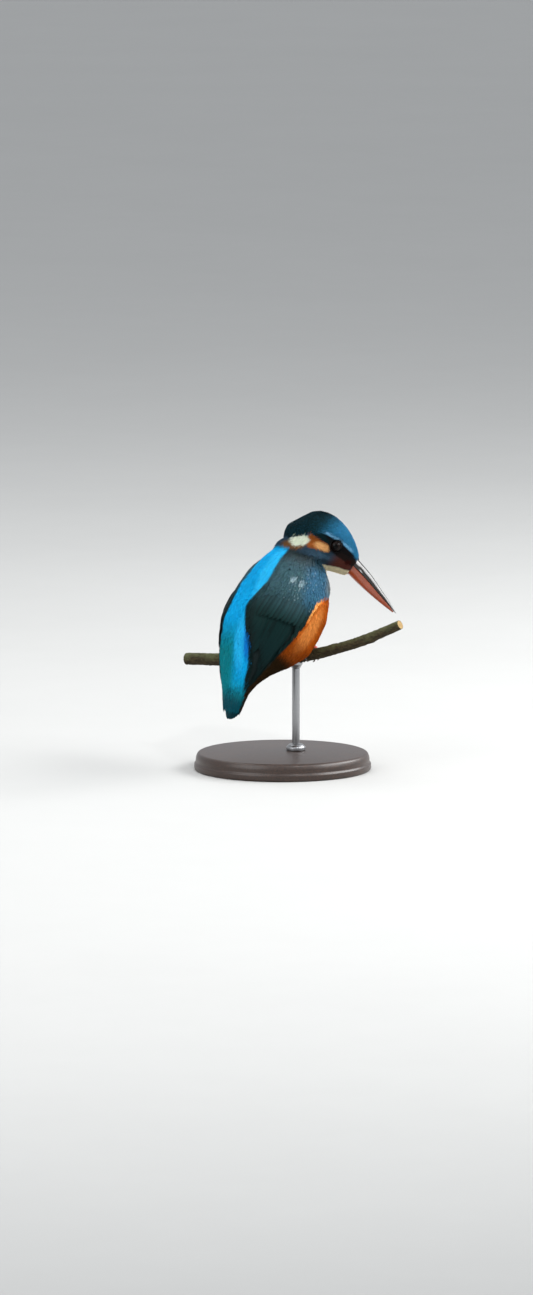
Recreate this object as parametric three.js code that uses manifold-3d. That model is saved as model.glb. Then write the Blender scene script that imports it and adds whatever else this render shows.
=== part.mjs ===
// A common kingfisher, life size, perched on a cut length of branch that a plain display stand holds up.
// Millimetres, +Z up. The origin is the centre of the stand's underside.
// The body faces +X, the bird's left is +Y, and the head is turned to the bird's right and looks down.
// Each sub-part is a closed solid of its own, kept a small gap away from its neighbours.

import * as THREE from "three";
import { LoftGeometry } from "three/addons/geometries/LoftGeometry.js";
import { mergeVertices } from "three/addons/utils/BufferGeometryUtils.js";
import Module from "manifold-3d";

const wasm = await Module();
wasm.setup();

// ---- Driving dimensions ----

const GAP = 0.3; // clear space between neighbouring solids
const MIN_OVAL = 0.6; // the least half size of an oval section

// How finely the round forms are faceted: rings along them and sides round them.
const RINGS = { trunk: 15, head: 16, neck: 6, perch: 18, bill: 8, tail: 7, toe: 7, claw: 4 };
const SIDES_ROUND = { trunk: 22, head: 22, neck: 20, perch: 12, toe: 6, claw: 6 };

// The stand: a turned base, a rod and a small cradle under the branch.
const STAND = {
  baseRadius: 46,
  baseHeight: 9,
  edgeRound: 1.6,
  collarRadius: 5,
  collarHeight: 3,
  collarRound: 1.2,
  rodRadius: 2,
  cradleRadius: 3.5,
  cradleHeight: 5,
  cradleLip: 0.5,
};

// The branch. Its own axis runs from the bird's left rear to its right front.
const PERCH = {
  height: 58, // of the axis between the feet above the table
  forward: 9, // of the base's centre
  turn: 20, // degrees between the branch and a square crossing of the bird's heading
  radius: 3.35,
};

// Rows of [distance along the branch, height of the axis, share of the radius].
const PERCH_LINE = [
  [-66, -5.6, 0.98],
  [-50, -4.8, 1.0],
  [-36, -4.1, 1.1],
  [-20, -2.8, 1.0],
  [0, 0.0, 0.98],
  [14, 3.0, 0.92],
  [28, 7.2, 0.84],
  [40, 11.4, 0.86],
  [52, 16.6, 0.8],
  [62, 21.2, 0.78],
];

// The trunk's axis starts under the neck and slopes down to the tail.
const TRUNK = { x: 2, z: 52, pitch: 58.7, endRound: 7, fullness: 0.94 };

// Rows of [distance back from the neck, back, belly, half width, height of the widest point],
// all measured across the trunk's axis.
const TRUNK_ROWS = [
  [-7, 4.5, -8.5, 9, -3],
  [0, 12.4, -14.8, 14.2, -3],
  [10, 17.8, -22.2, 18.8, -2.5],
  [25, 21.0, -28, 22.9, -2],
  [38, 21.8, -27.2, 24, -0.4],
  [48, 21, -25, 22.8, 0.6],
  [57, 18.2, -16.2, 20.2, 2.5],
  [68, 13.2, -5.8, 14.6, 3.8],
  [79, 7.0, -1.4, 9.2, 2.4],
  [88, 1.8, -2.6, 6.6, -0.4],
];

// The folded wings: how far the coverts and the flight feathers below them stand proud,
// how deep a wing is let into the body, the slanting line where the coverts end, as
// [distance back from the neck, height across the axis], and the wing's lower edge.
const WING = {
  covertsProud: 1.15,
  flightProud: 0.6,
  depth: 2.9,
  tipRound: 1.5,
  aboveBack: 34, // higher than the back at any place
  covertsEnd: [
    [34, -8],
    [58, 30],
  ],
};
const WING_EDGE = [
  [1, 12],
  [1, 0],
  [3.5, -9],
  [9, -15.6],
  [13.5, -15.8],
  [17.5, -11.4],
  [27, -5.8],
  [38, -3.6],
  [47, -0.6],
  [56, 3.4],
  [66, 5.4],
  [77.5, 4.4],
];
// The bare strip of back between the wings: [distance back from the neck, half width].
const BACK_STRIP = [
  [-12, 16],
  [4, 15.2],
  [14, 12.4],
  [26, 8.4],
  [36, 7],
  [50, 8.6],
  [62, 10.6],
  [72, 10.6],
  [82, 8.8],
  [96, 8],
];
// The tail: root, slope, and rows of [distance to the tip, half width, thickness].
const TAIL = { x: -38.6, z: -5.5, pitch: 78.5, sag: 2.1, sagHalfWidth: 7.6, edgeThickness: 0.35 };
const TAIL_ROWS = [
  [0, 4.6, 3.2],
  [8, 6.2, 2.8],
  [16, 6.6, 2.1],
  [21, 5.6, 1.6],
  [24.2, 3.9, 1.3],
  [25.4, 2.2, 1.1],
];

// The head's frame sits between the eyes, turned and tipped down.
const HEAD = { x: 20.5, y: -11, z: 58.7, yaw: -50, pitch: -40, rearRound: 5, frontRound: 2.2, fullness: 0.96 };

// Rows of [distance ahead of the eyes, crown, throat, half width, height of the widest point].
const HEAD_ROWS = [
  [-28.6, -7.5, -14.5, 7, -9.6],
  [-26, -3.2, -16.6, 9.4, -8.6],
  [-21.5, 4.2, -18.0, 11.8, -7.4],
  [-14, 8.7, -18.6, 13.4, -6.8],
  [-6, 9.3, -18.2, 12.9, -6],
  [1, 7.8, -16.6, 11.2, -5],
  [7, 5.0, -13.4, 8.6, -4.4],
  [12, 1.4, -11.2, 6.2, -4.4],
  [15, -1.5, -9.0, 3.6, -5],
];

const EYE = { radius: 3.2, ahead: -0.3, side: 8.3, up: -0.4 };

// The bill. Rows of [distance ahead of the eyes, ridge, cutting edge, lower ridge, half width].
const BILL_ROWS = [
  [6.5, -1.2, -4.4, -8.2, 3.4],
  [11, 0, -4.1, -8.8, 4.3],
  [16, -0.5, -4.4, -9.2, 3.9],
  [24, -1.9, -5.4, -9.6, 2.9],
  [32, -4.1, -6.6, -9.7, 2.1],
  [39, -6.0, -7.6, -9.5, 1.3],
  [45.5, -8.2, -8.7, -9.1, 0.5],
];
const BILL_TIP_LONGER = 1.4; // how far the upper half's tip passes the lower one
const LOWER_BILL_NARROWER = 0.93; // the lower half's width as a share of the upper's
const BILL_ROOF = 1.15; // above 1 the bill's section is a roof, below 1 a barrel

// The neck, from the shoulders up into the back of the head:
// rows of [x, y, z, half width, half depth].
const NECK_ROWS = [
  [-2, 0, 45, 15, 14.5],
  [1.5, 0, 50, 15.2, 15],
  [5.5, -0.6, 54.5, 14, 13.8],
  [9, -2.2, 58.5, 12.2, 12],
  [12, -3.6, 62, 9, 9],
];

// The feet, with the shank that carries each. Claw angles are degrees round the branch.
const FOOT = {
  side: 8.2, // distance from the bird's midline
  toeRadius: 1.15,
  toeOverlap: 14, // how far past the top each toe's root starts
  toeSpread: 4.5, // how far either way the belly leaves room for the toes' centres
  roomReach: 170, // how far round the branch the belly leaves room for the toes
  roomLean: 0.3, // the room's shift towards the midline
  roomSlack: 2.0, // the room's half thickness in toe radii
  toeTaper: 0.2, // share of its radius that a toe loses to its end
  clawRadius: 0.85,
  clawStart: 4.5, // gap between a toe's end and its claw
  clawSweep: 42,
  clawArch: 0.5, // how far the middle of a claw lifts off the branch
  clawTaper: 0.86,
  shankRadius: 1.35,
  shankRise: 9,
  kneeX: -7,
  kneeSide: 9.2,
};
// Toes: how far towards the bird's midline each starts and ends, and how far round the
// branch it reaches, in degrees from the top.
const TOES = [
  { name: "inner", from: 1.5, to: 3.1, reach: 88, thick: 0.92 },
  { name: "middle", from: 0.2, to: 0.5, reach: 112, thick: 1.0 },
  { name: "outer", from: -1.4, to: -2.0, reach: 102, thick: 0.94 },
  { name: "hind", from: -0.3, to: 0.4, reach: -96, thick: 0.96 },
];

// ---- Materials ----

function finish(color, roughness, metalness = 0) {
  return new THREE.MeshStandardMaterial({ color, roughness, metalness });
}
const CROWN_BLUE = finish(0x1c4d6b, 0.6);
const WING_TEAL = finish(0x14454b, 0.6);
const BACK_AZURE = finish(0x0c93d6, 0.5);
const TAIL_BLUE = finish(0x0a4f66, 0.5);
const BILL_BLACK = finish(0x241f1f, 0.35);
const BILL_RED = finish(0xa4482c, 0.4);
const EYE_BROWN = finish(0x120a08, 0.08);
const FOOT_RED = finish(0xb4391e, 0.5);
const CLAW_DARK = finish(0x2a1c18, 0.4);
const BARK = finish(0x5a4734, 0.9);
const STAND_WOOD = finish(0x2b1d15, 0.45);
const STAND_STEEL = finish(0xa9abad, 0.3, 1);

// ---- Solids ----

const LEFT = 1;
const RIGHT = -1;
const SIDES = [
  ["right", RIGHT],
  ["left", LEFT],
];
const rad = THREE.MathUtils.degToRad;

const CUTTER_REACH = 60; // past the bird in any direction

/** A closed geometry as a manifold solid, after an optional move. */
function solid(geometry, matrix) {
  const bare = new THREE.BufferGeometry().copy(geometry);
  bare.deleteAttribute("normal");
  bare.deleteAttribute("uv");
  if (matrix) bare.applyMatrix4(matrix);
  const merged = mergeVertices(bare, 1e-4);
  return new wasm.Manifold(
    new wasm.Mesh({
      numProp: 3,
      vertProperties: merged.attributes.position.array,
      triVerts: new Uint32Array(merged.index.array),
    }),
  );
}

/** The largest body of a manifold solid as a geometry. */
function geometryOf(made) {
  const bodies = made.decompose().sort((a, b) => b.volume() - a.volume());
  const { vertProperties, triVerts } = bodies[0].getMesh();
  const geometry = new THREE.BufferGeometry();
  geometry.setAttribute("position", new THREE.BufferAttribute(vertProperties, 3));
  geometry.setIndex(new THREE.BufferAttribute(triVerts, 1));
  geometry.computeVertexNormals();
  return geometry;
}

function named(name, made, material) {
  const mesh = new THREE.Mesh(geometryOf(made), material);
  mesh.name = name;
  return mesh;
}

/** Joins several solids into one. */
function joined(solids) {
  return solids.reduce((all, next) => all.add(next));
}

/** Reads rows of [position, values...] as one smooth function of position. */
function smoothRows(rows) {
  const size = rows[0].length - 1;
  const places = rows.map((row) => row[0]);
  const values = rows.flatMap((row) => row.slice(1));
  const curve = new THREE.CubicInterpolant(places, values, size, new Float64Array(size));
  return {
    start: places[0],
    end: places[places.length - 1],
    at: (place) => Array.from(curve.evaluate(place)),
  };
}

/** Steps from start to end that crowd together at both ends. */
function steps(count, start, end) {
  return Array.from(
    { length: count + 1 },
    (_, k) => start + ((end - start) * (1 - Math.cos((Math.PI * k) / count))) / 2,
  );
}

/** The same steps for a form moved out by `grow`: those between its ends, and its own two ends. */
function grownSteps(count, start, end, grow) {
  const [from, to] = [start - grow, end + grow];
  const between = steps(count, start, end).slice(1, -1);
  return [from, ...between.filter((place) => place > from + GAP && place < to - GAP), to];
}

/** Almost 0 at either end of a stretch, rising as a quarter circle to 1 within the end's cap. */
function roundEnds(place, start, end, startCap, endCap = startCap) {
  const inside = Math.min((place - start) / startCap, (end - place) / endCap);
  const share = THREE.MathUtils.clamp(inside, 0, 1);
  return Math.sqrt(Math.max(0.0009, 1 - (1 - share) ** 2));
}

/** A matrix that places a local frame of forward, left and up. */
function frameOf({ x = 0, y = 0, z = 0, yaw = 0, pitch = 0 }) {
  return new THREE.Matrix4()
    .makeTranslation(x, y, z)
    .multiply(new THREE.Matrix4().makeRotationZ(rad(yaw)))
    .multiply(new THREE.Matrix4().makeRotationY(rad(-pitch)));
}

/**
 * A closed oval outline across local x. The part above the widest height and the part
 * below it are half ovals of their own.
 */
function oval(x, { top, bottom, half, widest }, sides, fullness) {
  const points = [];
  for (let k = 0; k < sides; k++) {
    const angle = (2 * Math.PI * k) / sides;
    const across = Math.cos(angle);
    const up = Math.sin(angle);
    const rise = up > 0 ? top - widest : widest - bottom;
    points.push(
      new THREE.Vector3(
        x,
        Math.sign(across) * Math.abs(across) ** fullness * half,
        widest + Math.sign(up) * Math.abs(up) ** fullness * rise,
      ),
    );
  }
  return points;
}

/** The sizes of an oval drawn in to `share`, and moved out by `grow` on every side. */
function grownOval([top, bottom, half, widest], grow, share) {
  const size = (length) => Math.max(MIN_OVAL * share, length * share + grow);
  return {
    top: widest + size(top - widest),
    bottom: widest - size(widest - bottom),
    half: size(half),
    widest,
  };
}

/** A loft whose sections run towards +x, or towards -x when `backwards`. */
function lofted(sections, backwards = false) {
  const ordered = backwards ? sections.slice().reverse() : sections;
  return new LoftGeometry(ordered, { capStart: true, capEnd: true });
}

// ---- The trunk, and the shells and zones that the wings are cut from ----

const trunkFrame = frameOf(TRUNK);
const trunkRow = smoothRows(TRUNK_ROWS);

function trunkSolid(grow) {
  const { start, end } = trunkRow;
  const sections = grownSteps(RINGS.trunk, start, end, grow).map((back, k, all) => {
    const within = THREE.MathUtils.clamp(back, start, end);
    const atAnEnd = k === 0 || k === all.length - 1;
    const share = roundEnds(atAnEnd ? start : back, start, end, TRUNK.endRound);
    const shape = grownOval(trunkRow.at(within), atAnEnd ? 0 : grow, share);
    return oval(-back, shape, SIDES_ROUND.trunk, TRUNK.fullness);
  });
  return solid(lofted(sections, true), trunkFrame);
}

/** A flat outline in the trunk's side view, pushed out sideways over one side of the bird. */
function sidePrism(outline, side) {
  const geometry = new THREE.ExtrudeGeometry(new THREE.Shape(outline), {
    depth: CUTTER_REACH,
    bevelEnabled: false,
  });
  // The shape's x is the distance back from the neck and its y the height across the axis.
  const place = new THREE.Matrix4().makeBasis(
    new THREE.Vector3(-1, 0, 0),
    new THREE.Vector3(0, 0, 1),
    new THREE.Vector3(0, 1, 0),
  );
  const shift = new THREE.Matrix4().makeTranslation(0, side === RIGHT ? -CUTTER_REACH : 0, 0);
  return solid(geometry, trunkFrame.clone().multiply(shift).multiply(place));
}

function smoothPoints(rows, count) {
  const curve = new THREE.SplineCurve(rows.map(([a, b]) => new THREE.Vector2(a, b)));
  return curve.getPoints(count);
}

/** The side-view outline of a wing, with its front, lower edge and tip moved out by `grow`. */
function wingOutline(grow) {
  const points = smoothPoints(WING_EDGE, 18);
  const edge = points.map((p, k) => {
    const along = points[Math.min(k + 1, points.length - 1)].clone().sub(points[Math.max(k - 1, 0)]);
    const outward = new THREE.Vector2(along.y, -along.x).normalize();
    return p.clone().addScaledVector(outward, grow);
  });
  const tip = edge[edge.length - 1];
  const { tipRound, aboveBack } = WING;
  return [
    ...edge,
    new THREE.Vector2(tip.x + tipRound + grow, tip.y + tipRound + grow),
    new THREE.Vector2(tip.x + tipRound + grow, aboveBack),
    new THREE.Vector2(edge[0].x, aboveBack),
  ];
}

/** The strip of back between the wings, as an upright slab that is narrower by `shrink`. */
function backStrip(shrink) {
  const edge = smoothPoints(BACK_STRIP, 12);
  const outline = [
    ...edge.map((p) => new THREE.Vector2(-p.x, p.y - shrink)),
    ...edge.reverse().map((p) => new THREE.Vector2(-p.x, shrink - p.y)),
  ];
  const geometry = new THREE.ExtrudeGeometry(new THREE.Shape(outline), {
    depth: CUTTER_REACH,
    bevelEnabled: false,
  });
  const lift = new THREE.Matrix4().makeTranslation(0, 0, shrink - GAP);
  return solid(geometry, trunkFrame.clone().multiply(lift));
}

// ---- Wings ----

/** The zone of the covert feathers, or of the flight feathers behind them. */
function covertsPrism(side, behind) {
  const [low, high] = WING.covertsEnd;
  const end = behind ? trunkRow.end + CUTTER_REACH : trunkRow.start - CUTTER_REACH;
  const under = low[1] - CUTTER_REACH;
  const outline = [low, high, [end, high[1]], [end, under], [low[0], under]];
  return sidePrism(
    outline.map(([back, height]) => new THREE.Vector2(back, height)),
    side,
  );
}

function wingSolid(side) {
  const zone = sidePrism(wingOutline(0), side).subtract(backStrip(0));
  const core = trunkSolid(GAP - WING.depth);
  const coverts = trunkSolid(WING.covertsProud).intersect(covertsPrism(side, false));
  const flight = trunkSolid(WING.flightProud).intersect(covertsPrism(side, true));
  return coverts.add(flight).subtract(core).intersect(zone);
}

/** What is cut out of the trunk to make room for a wing. */
function wingRoom(side) {
  const zone = sidePrism(wingOutline(GAP), side).subtract(backStrip(GAP));
  return zone.subtract(trunkSolid(-WING.depth));
}

// ---- Tail ----

const tailFrame = frameOf(TAIL);

function tailSolid(grow) {
  const row = smoothRows(TAIL_ROWS);
  const sections = steps(RINGS.tail, row.start - grow, row.end + grow).map((down) => {
    const [half, thick] = row.at(THREE.MathUtils.clamp(down, row.start, row.end));
    const points = [];
    const spans = 6;
    for (const turn of [1, -1]) {
      for (let k = 0; k <= spans; k++) {
        const across = turn * (1 - (2 * k) / spans);
        const y = across * (half + grow);
        const bow = TAIL.sag * (1 - (y / TAIL.sagHalfWidth) ** 2);
        const edge = THREE.MathUtils.lerp(TAIL.edgeThickness, 1, Math.sqrt(1 - across ** 2));
        points.push(new THREE.Vector3(-down, y, bow + turn * ((thick / 2) * edge + grow)));
      }
    }
    return points;
  });
  return solid(lofted(sections, true), tailFrame);
}

// ---- Head, eyes and bill ----

const headFrame = frameOf(HEAD);
const headRow = smoothRows(HEAD_ROWS);

function headSolid(grow) {
  const { start, end } = headRow;
  const sections = grownSteps(RINGS.head, start, end, grow).map((ahead, k, all) => {
    const within = THREE.MathUtils.clamp(ahead, start, end);
    const atAnEnd = k === 0 || k === all.length - 1;
    const share = roundEnds(atAnEnd ? start : ahead, start, end, HEAD.rearRound, HEAD.frontRound);
    const shape = grownOval(headRow.at(within), atAnEnd ? 0 : grow, share);
    return oval(ahead, shape, SIDES_ROUND.head, HEAD.fullness);
  });
  return solid(lofted(sections), headFrame);
}

function eyeSolid(side, grow) {
  const ball = new THREE.SphereGeometry(EYE.radius + grow, 14, 9);
  const place = new THREE.Matrix4().makeTranslation(EYE.ahead, side * EYE.side, EYE.up);
  return solid(ball, headFrame.clone().multiply(place));
}

const billRow = smoothRows(BILL_ROWS);

/** One half of the bill: 1 for the upper half, -1 for the lower. */
function billHalf(up, grow) {
  const end = billRow.end - (up > 0 ? 0 : BILL_TIP_LONGER);
  const places = steps(RINGS.bill, billRow.start, end);
  if (grow) places.unshift(billRow.start - grow);
  const sections = places.map((ahead) => {
    const [ridge, edge, keel, halfWidth] = billRow.at(Math.max(ahead, billRow.start));
    const half = halfWidth * (up > 0 ? 1 : LOWER_BILL_NARROWER) + grow;
    const foot = edge + up * (GAP / 2 - grow);
    const height = (up > 0 ? ridge - edge : edge - keel) - GAP / 2 + 2 * grow;
    const turns = 8;
    return Array.from({ length: turns + 1 }, (_, k) => {
      const angle = (Math.PI * k) / turns;
      const across = Math.cos(angle);
      const rise = Math.sin(angle) ** BILL_ROOF;
      const y = up * Math.sign(across) * Math.abs(across) ** 0.9 * half;
      return new THREE.Vector3(ahead, y, foot + up * rise * height);
    });
  });
  return solid(lofted(sections), headFrame);
}

/** The room that the bill and the eyes need in the head. */
function headRoom() {
  const eyes = SIDES.map(([, side]) => eyeSolid(side, GAP));
  return joined([billHalf(1, GAP), billHalf(-1, GAP), ...eyes]);
}

// ---- Neck ----

function neckSolid() {
  const path = new THREE.CatmullRomCurve3(NECK_ROWS.map(([x, y, z]) => new THREE.Vector3(x, y, z)));
  const sizes = smoothRows(NECK_ROWS.map(([, , , half, depth], k) => [k, half, depth]));
  const last = NECK_ROWS.length - 1;
  const count = RINGS.neck;
  const sections = Array.from({ length: count + 1 }, (_, k) => {
    const centre = path.getPoint(k / count);
    const along = path.getTangent(k / count);
    const side = new THREE.Vector3(0, 1, 0).cross(along).cross(along).negate().normalize();
    const front = side.clone().cross(along);
    const [half, depth] = sizes.at((last * k) / count);
    return Array.from({ length: SIDES_ROUND.neck }, (_, n) => {
      const angle = (2 * Math.PI * n) / SIDES_ROUND.neck;
      return centre
        .clone()
        .addScaledVector(side, half * Math.cos(angle))
        .addScaledVector(front, -depth * Math.sin(angle));
    });
  });
  return solid(lofted(sections));
}

// ---- Branch ----

const perchLine = smoothRows(PERCH_LINE);
// Along the branch towards the bird's right, and level across it towards the front.
const ALONG = new THREE.Vector3(Math.sin(rad(PERCH.turn)), -Math.cos(rad(PERCH.turn)), 0);
const ACROSS = new THREE.Vector3(Math.cos(rad(PERCH.turn)), Math.sin(rad(PERCH.turn)), 0);
const UP = new THREE.Vector3(0, 0, 1);

function perchPoint(along) {
  const [height] = perchLine.at(along);
  return ALONG.clone().multiplyScalar(along).addScaledVector(UP, height);
}

/**
 * A ring of a rod, square to the direction it runs in. The section is round, or is `stretch`
 * times as wide along `lead`.
 */
function rodRing(centre, direction, lead, radius, sides, stretch = 1) {
  const across = new THREE.Vector3().crossVectors(lead, direction).normalize();
  const above = new THREE.Vector3().crossVectors(direction, across);
  return Array.from({ length: sides }, (_, k) => {
    const angle = (2 * Math.PI * k) / sides;
    return centre
      .clone()
      .addScaledVector(across, radius * Math.cos(angle))
      .addScaledVector(above, radius * stretch * Math.sin(angle));
  });
}

function perchSolid(grow) {
  const count = RINGS.perch;
  const sections = Array.from({ length: count + 1 }, (_, k) => {
    const along = THREE.MathUtils.lerp(perchLine.start, perchLine.end, k / count);
    const direction = perchPoint(along + 0.5).sub(perchPoint(along - 0.5)).normalize();
    const radius = PERCH.radius * perchLine.at(along)[1] + grow;
    return rodRing(perchPoint(along), direction, UP, radius, SIDES_ROUND.perch);
  });
  return solid(lofted(sections));
}

// ---- Legs, feet and claws ----

/** Where a foot sits on the branch, with the branch's own directions there. */
function footPlace(side) {
  const along = (-side * FOOT.side) / Math.cos(rad(PERCH.turn));
  const centre = perchPoint(along);
  const axis = perchPoint(along + 0.5).sub(perchPoint(along - 0.5)).normalize();
  const above = new THREE.Vector3().crossVectors(axis, ACROSS).normalize();
  return { centre, axis, above, radius: PERCH.radius * perchLine.at(along)[1] };
}

/** A point at `turn` degrees round the branch from its top, `out` from its axis. */
function roundPerch(place, turn, out, lean) {
  return place.centre
    .clone()
    .addScaledVector(place.axis, lean)
    .addScaledVector(place.above, Math.cos(rad(turn)) * out)
    .addScaledVector(ACROSS, Math.sin(rad(turn)) * out);
}

/** A tapering round rod through points that run square to `lead`, rounded at both ends. */
function taperedRod(points, lead, radiusAt, rings, sides, stretch = 1) {
  const path = new THREE.CatmullRomCurve3(points);
  const roundedShare = 0.06;
  const sections = steps(rings, 0, 1).map((share) => {
    const radius = radiusAt(share) * roundEnds(share, 0, 1, roundedShare);
    return rodRing(path.getPoint(share), path.getTangent(share), lead, radius, sides, stretch);
  });
  return solid(lofted(sections));
}

function toePath(place, toe, side) {
  const out = place.radius + FOOT.toeRadius + GAP;
  const stepsRound = 7;
  return Array.from({ length: stepsRound }, (_, k) => {
    const share = k / (stepsRound - 1);
    const lean = side * THREE.MathUtils.lerp(toe.from, toe.to, share);
    const turn = THREE.MathUtils.lerp(-Math.sign(toe.reach) * FOOT.toeOverlap, toe.reach, share);
    return roundPerch(place, turn, out, lean);
  });
}

function toeSolid(place, toe, side) {
  const thickness = (share) => FOOT.toeRadius * toe.thick * (1 - FOOT.toeTaper * share);
  return taperedRod(toePath(place, toe, side), place.axis, thickness, RINGS.toe, SIDES_ROUND.toe);
}

function shankSolid(place, side, grow) {
  const ankle = roundPerch(place, 0, place.radius + FOOT.toeRadius + GAP, 0);
  const knee = new THREE.Vector3(FOOT.kneeX, side * FOOT.kneeSide, ankle.z + FOOT.shankRise);
  const beyond = knee.clone().sub(ankle).setLength(grow);
  const line = [ankle, ankle.clone().lerp(knee, 0.5), knee.add(beyond)];
  return taperedRod(line, place.axis, () => FOOT.shankRadius + grow, 4, SIDES_ROUND.toe);
}

/** A foot with the shank that rises from it into the belly. */
function footSolid(side) {
  const place = footPlace(side);
  return joined([shankSolid(place, side, 0), ...TOES.map((toe) => toeSolid(place, toe, side))]);
}

/** The room a foot takes in the belly: one band round the branch for all its toes, and the shank. */
function footRoom(side) {
  const place = footPlace(side);
  const halfWidth = FOOT.toeSpread + FOOT.toeRadius + GAP;
  const halfThickness = FOOT.toeRadius * FOOT.roomSlack + GAP;
  const out = place.radius + FOOT.toeRadius + GAP;
  const band = Array.from({ length: 9 }, (_, k) => {
    const turn = THREE.MathUtils.lerp(-FOOT.roomReach, FOOT.roomReach, k / 8);
    return roundPerch(place, turn, out, side * FOOT.roomLean);
  });
  const stretch = halfWidth / halfThickness;
  const bandSolid = taperedRod(band, place.axis, () => halfThickness, 8, 8, stretch);
  return bandSolid.add(shankSolid(place, side, 2 * GAP));
}

function clawSolid(side, toe) {
  const place = footPlace(side);
  const turnAway = Math.sign(toe.reach);
  const start = toe.reach + turnAway * FOOT.clawStart;
  const lean = side * toe.to;
  const points = [0, 0.25, 0.5, 0.75, 1].map((share) => {
    const out = place.radius + FOOT.toeRadius + GAP + FOOT.clawArch * Math.sin(Math.PI * share);
    return roundPerch(place, start + turnAway * FOOT.clawSweep * share, out, lean);
  });
  const thickness = (share) => FOOT.clawRadius * (1 - FOOT.clawTaper * share);
  return taperedRod(points, place.axis, thickness, RINGS.claw, SIDES_ROUND.claw);
}

// ---- Stand ----

function turned(profile, sides, x, y) {
  const lathe = new THREE.LatheGeometry(
    profile.map(([r, z]) => new THREE.Vector2(r, z)),
    sides,
  );
  // A lathe turns about Y, so it is stood up about Z.
  const upright = new THREE.Matrix4().makeRotationX(Math.PI / 2);
  return solid(lathe, upright.premultiply(new THREE.Matrix4().makeTranslation(x, y, 0)));
}

// The rod stands under the branch, midway between the feet.
const rodFoot = new THREE.Vector3(PERCH.forward, 0, 0);
const collarFoot = STAND.baseHeight + GAP;
const rodBottom = collarFoot + STAND.collarHeight + GAP;
const rodTop = PERCH.height - PERCH.radius - STAND.cradleHeight / 2;

function baseSolid() {
  const { baseRadius, baseHeight, edgeRound } = STAND;
  const profile = [
    [0, 0],
    [baseRadius - edgeRound / 2, 0],
    [baseRadius, edgeRound / 2],
    [baseRadius, baseHeight - edgeRound],
    [baseRadius - edgeRound * 0.3, baseHeight - edgeRound * 0.3],
    [baseRadius - edgeRound, baseHeight],
    [0, baseHeight],
  ];
  return turned(profile, 52, 0, 0);
}

function collarSolid() {
  const { collarRadius, collarHeight, collarRound } = STAND;
  const profile = [
    [0, collarFoot],
    [collarRadius, collarFoot],
    [collarRadius, collarFoot + collarHeight - collarRound],
    [collarRadius - collarRound, collarFoot + collarHeight],
    [0, collarFoot + collarHeight],
  ];
  return turned(profile, 24, rodFoot.x, rodFoot.y);
}

function rodSolid() {
  const profile = [
    [0, rodBottom],
    [STAND.rodRadius, rodBottom],
    [STAND.rodRadius, rodTop],
    [0, rodTop],
  ];
  return turned(profile, 16, rodFoot.x, rodFoot.y);
}

/** The cup on top of the rod that the branch lies in. */
function cradleSolid(grow) {
  const { rodRadius, cradleRadius, cradleHeight, cradleLip } = STAND;
  const foot = rodTop + GAP;
  const profile = [
    [0, foot - grow],
    [rodRadius + cradleLip + grow, foot - grow],
    [cradleRadius + grow, rodTop + cradleHeight / 2],
    [cradleRadius + grow, rodTop + cradleHeight + grow],
    [0, rodTop + cradleHeight + grow],
  ];
  return turned(profile, 20, rodFoot.x, rodFoot.y);
}

// ---- Assembly ----

const bird = new THREE.Group();
bird.position.set(PERCH.forward, 0, PERCH.height);

const headClear = headSolid(GAP);
const tailClear = tailSolid(GAP);
const perchClear = perchSolid(GAP);
const cradleClear = cradleSolid(GAP).translate(-PERCH.forward, 0, -PERCH.height);
const feetClear = joined(SIDES.map(([, side]) => footRoom(side)));

const neighbours = joined([headClear, tailClear, perchClear, feetClear, cradleClear]);
const wingRooms = joined(SIDES.map(([, side]) => wingRoom(side)));
const trunk = trunkSolid(0).subtract(neighbours).subtract(wingRooms);
const neck = neckSolid().subtract(headClear).subtract(trunkSolid(WING.covertsProud + GAP));

bird.add(named("trunk", trunk, BACK_AZURE));
bird.add(named("neck", neck, WING_TEAL));
bird.add(named("head", headSolid(0).subtract(headRoom()), CROWN_BLUE));
bird.add(named("bill_upper", billHalf(1, 0), BILL_BLACK));
bird.add(named("bill_lower", billHalf(-1, 0), BILL_RED));
bird.add(named("tail", tailSolid(0), TAIL_BLUE));
bird.add(named("perch", perchSolid(0), BARK));
for (const [word, side] of SIDES) {
  bird.add(named(`wing_${word}`, wingSolid(side).subtract(neighbours), WING_TEAL));
  bird.add(named(`eye_${word}`, eyeSolid(side, 0), EYE_BROWN));
  bird.add(named(`foot_${word}`, footSolid(side), FOOT_RED));
  for (const toe of TOES) {
    bird.add(named(`claw_${word}_${toe.name}`, clawSolid(side, toe), CLAW_DARK));
  }
}

const cradle = cradleSolid(0).subtract(perchClear.translate(PERCH.forward, 0, PERCH.height));

const part = new THREE.Group();
part.add(bird);
part.add(named("stand_base", baseSolid(), STAND_WOOD));
part.add(named("stand_collar", collarSolid(), STAND_STEEL));
part.add(named("stand_rod", rodSolid(), STAND_STEEL));
part.add(named("stand_cradle", cradle, STAND_STEEL));

export default part;
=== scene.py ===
"""A still, life-size common kingfisher on a cut branch, feathered over its solid model.

Laid out as an add-on: each operator makes one piece or group of like pieces, and main() calls
them in order. Lengths are millimetres where a name ends in mm or a comment says so, and metres
everywhere else.
"""

import math

import bmesh
import bpy
import numpy as np
from bpy.props import FloatProperty, FloatVectorProperty, IntProperty, PointerProperty
from mathutils import Matrix, Vector, noise
from mathutils.bvhtree import BVHTree
from mathutils.kdtree import KDTree


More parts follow.
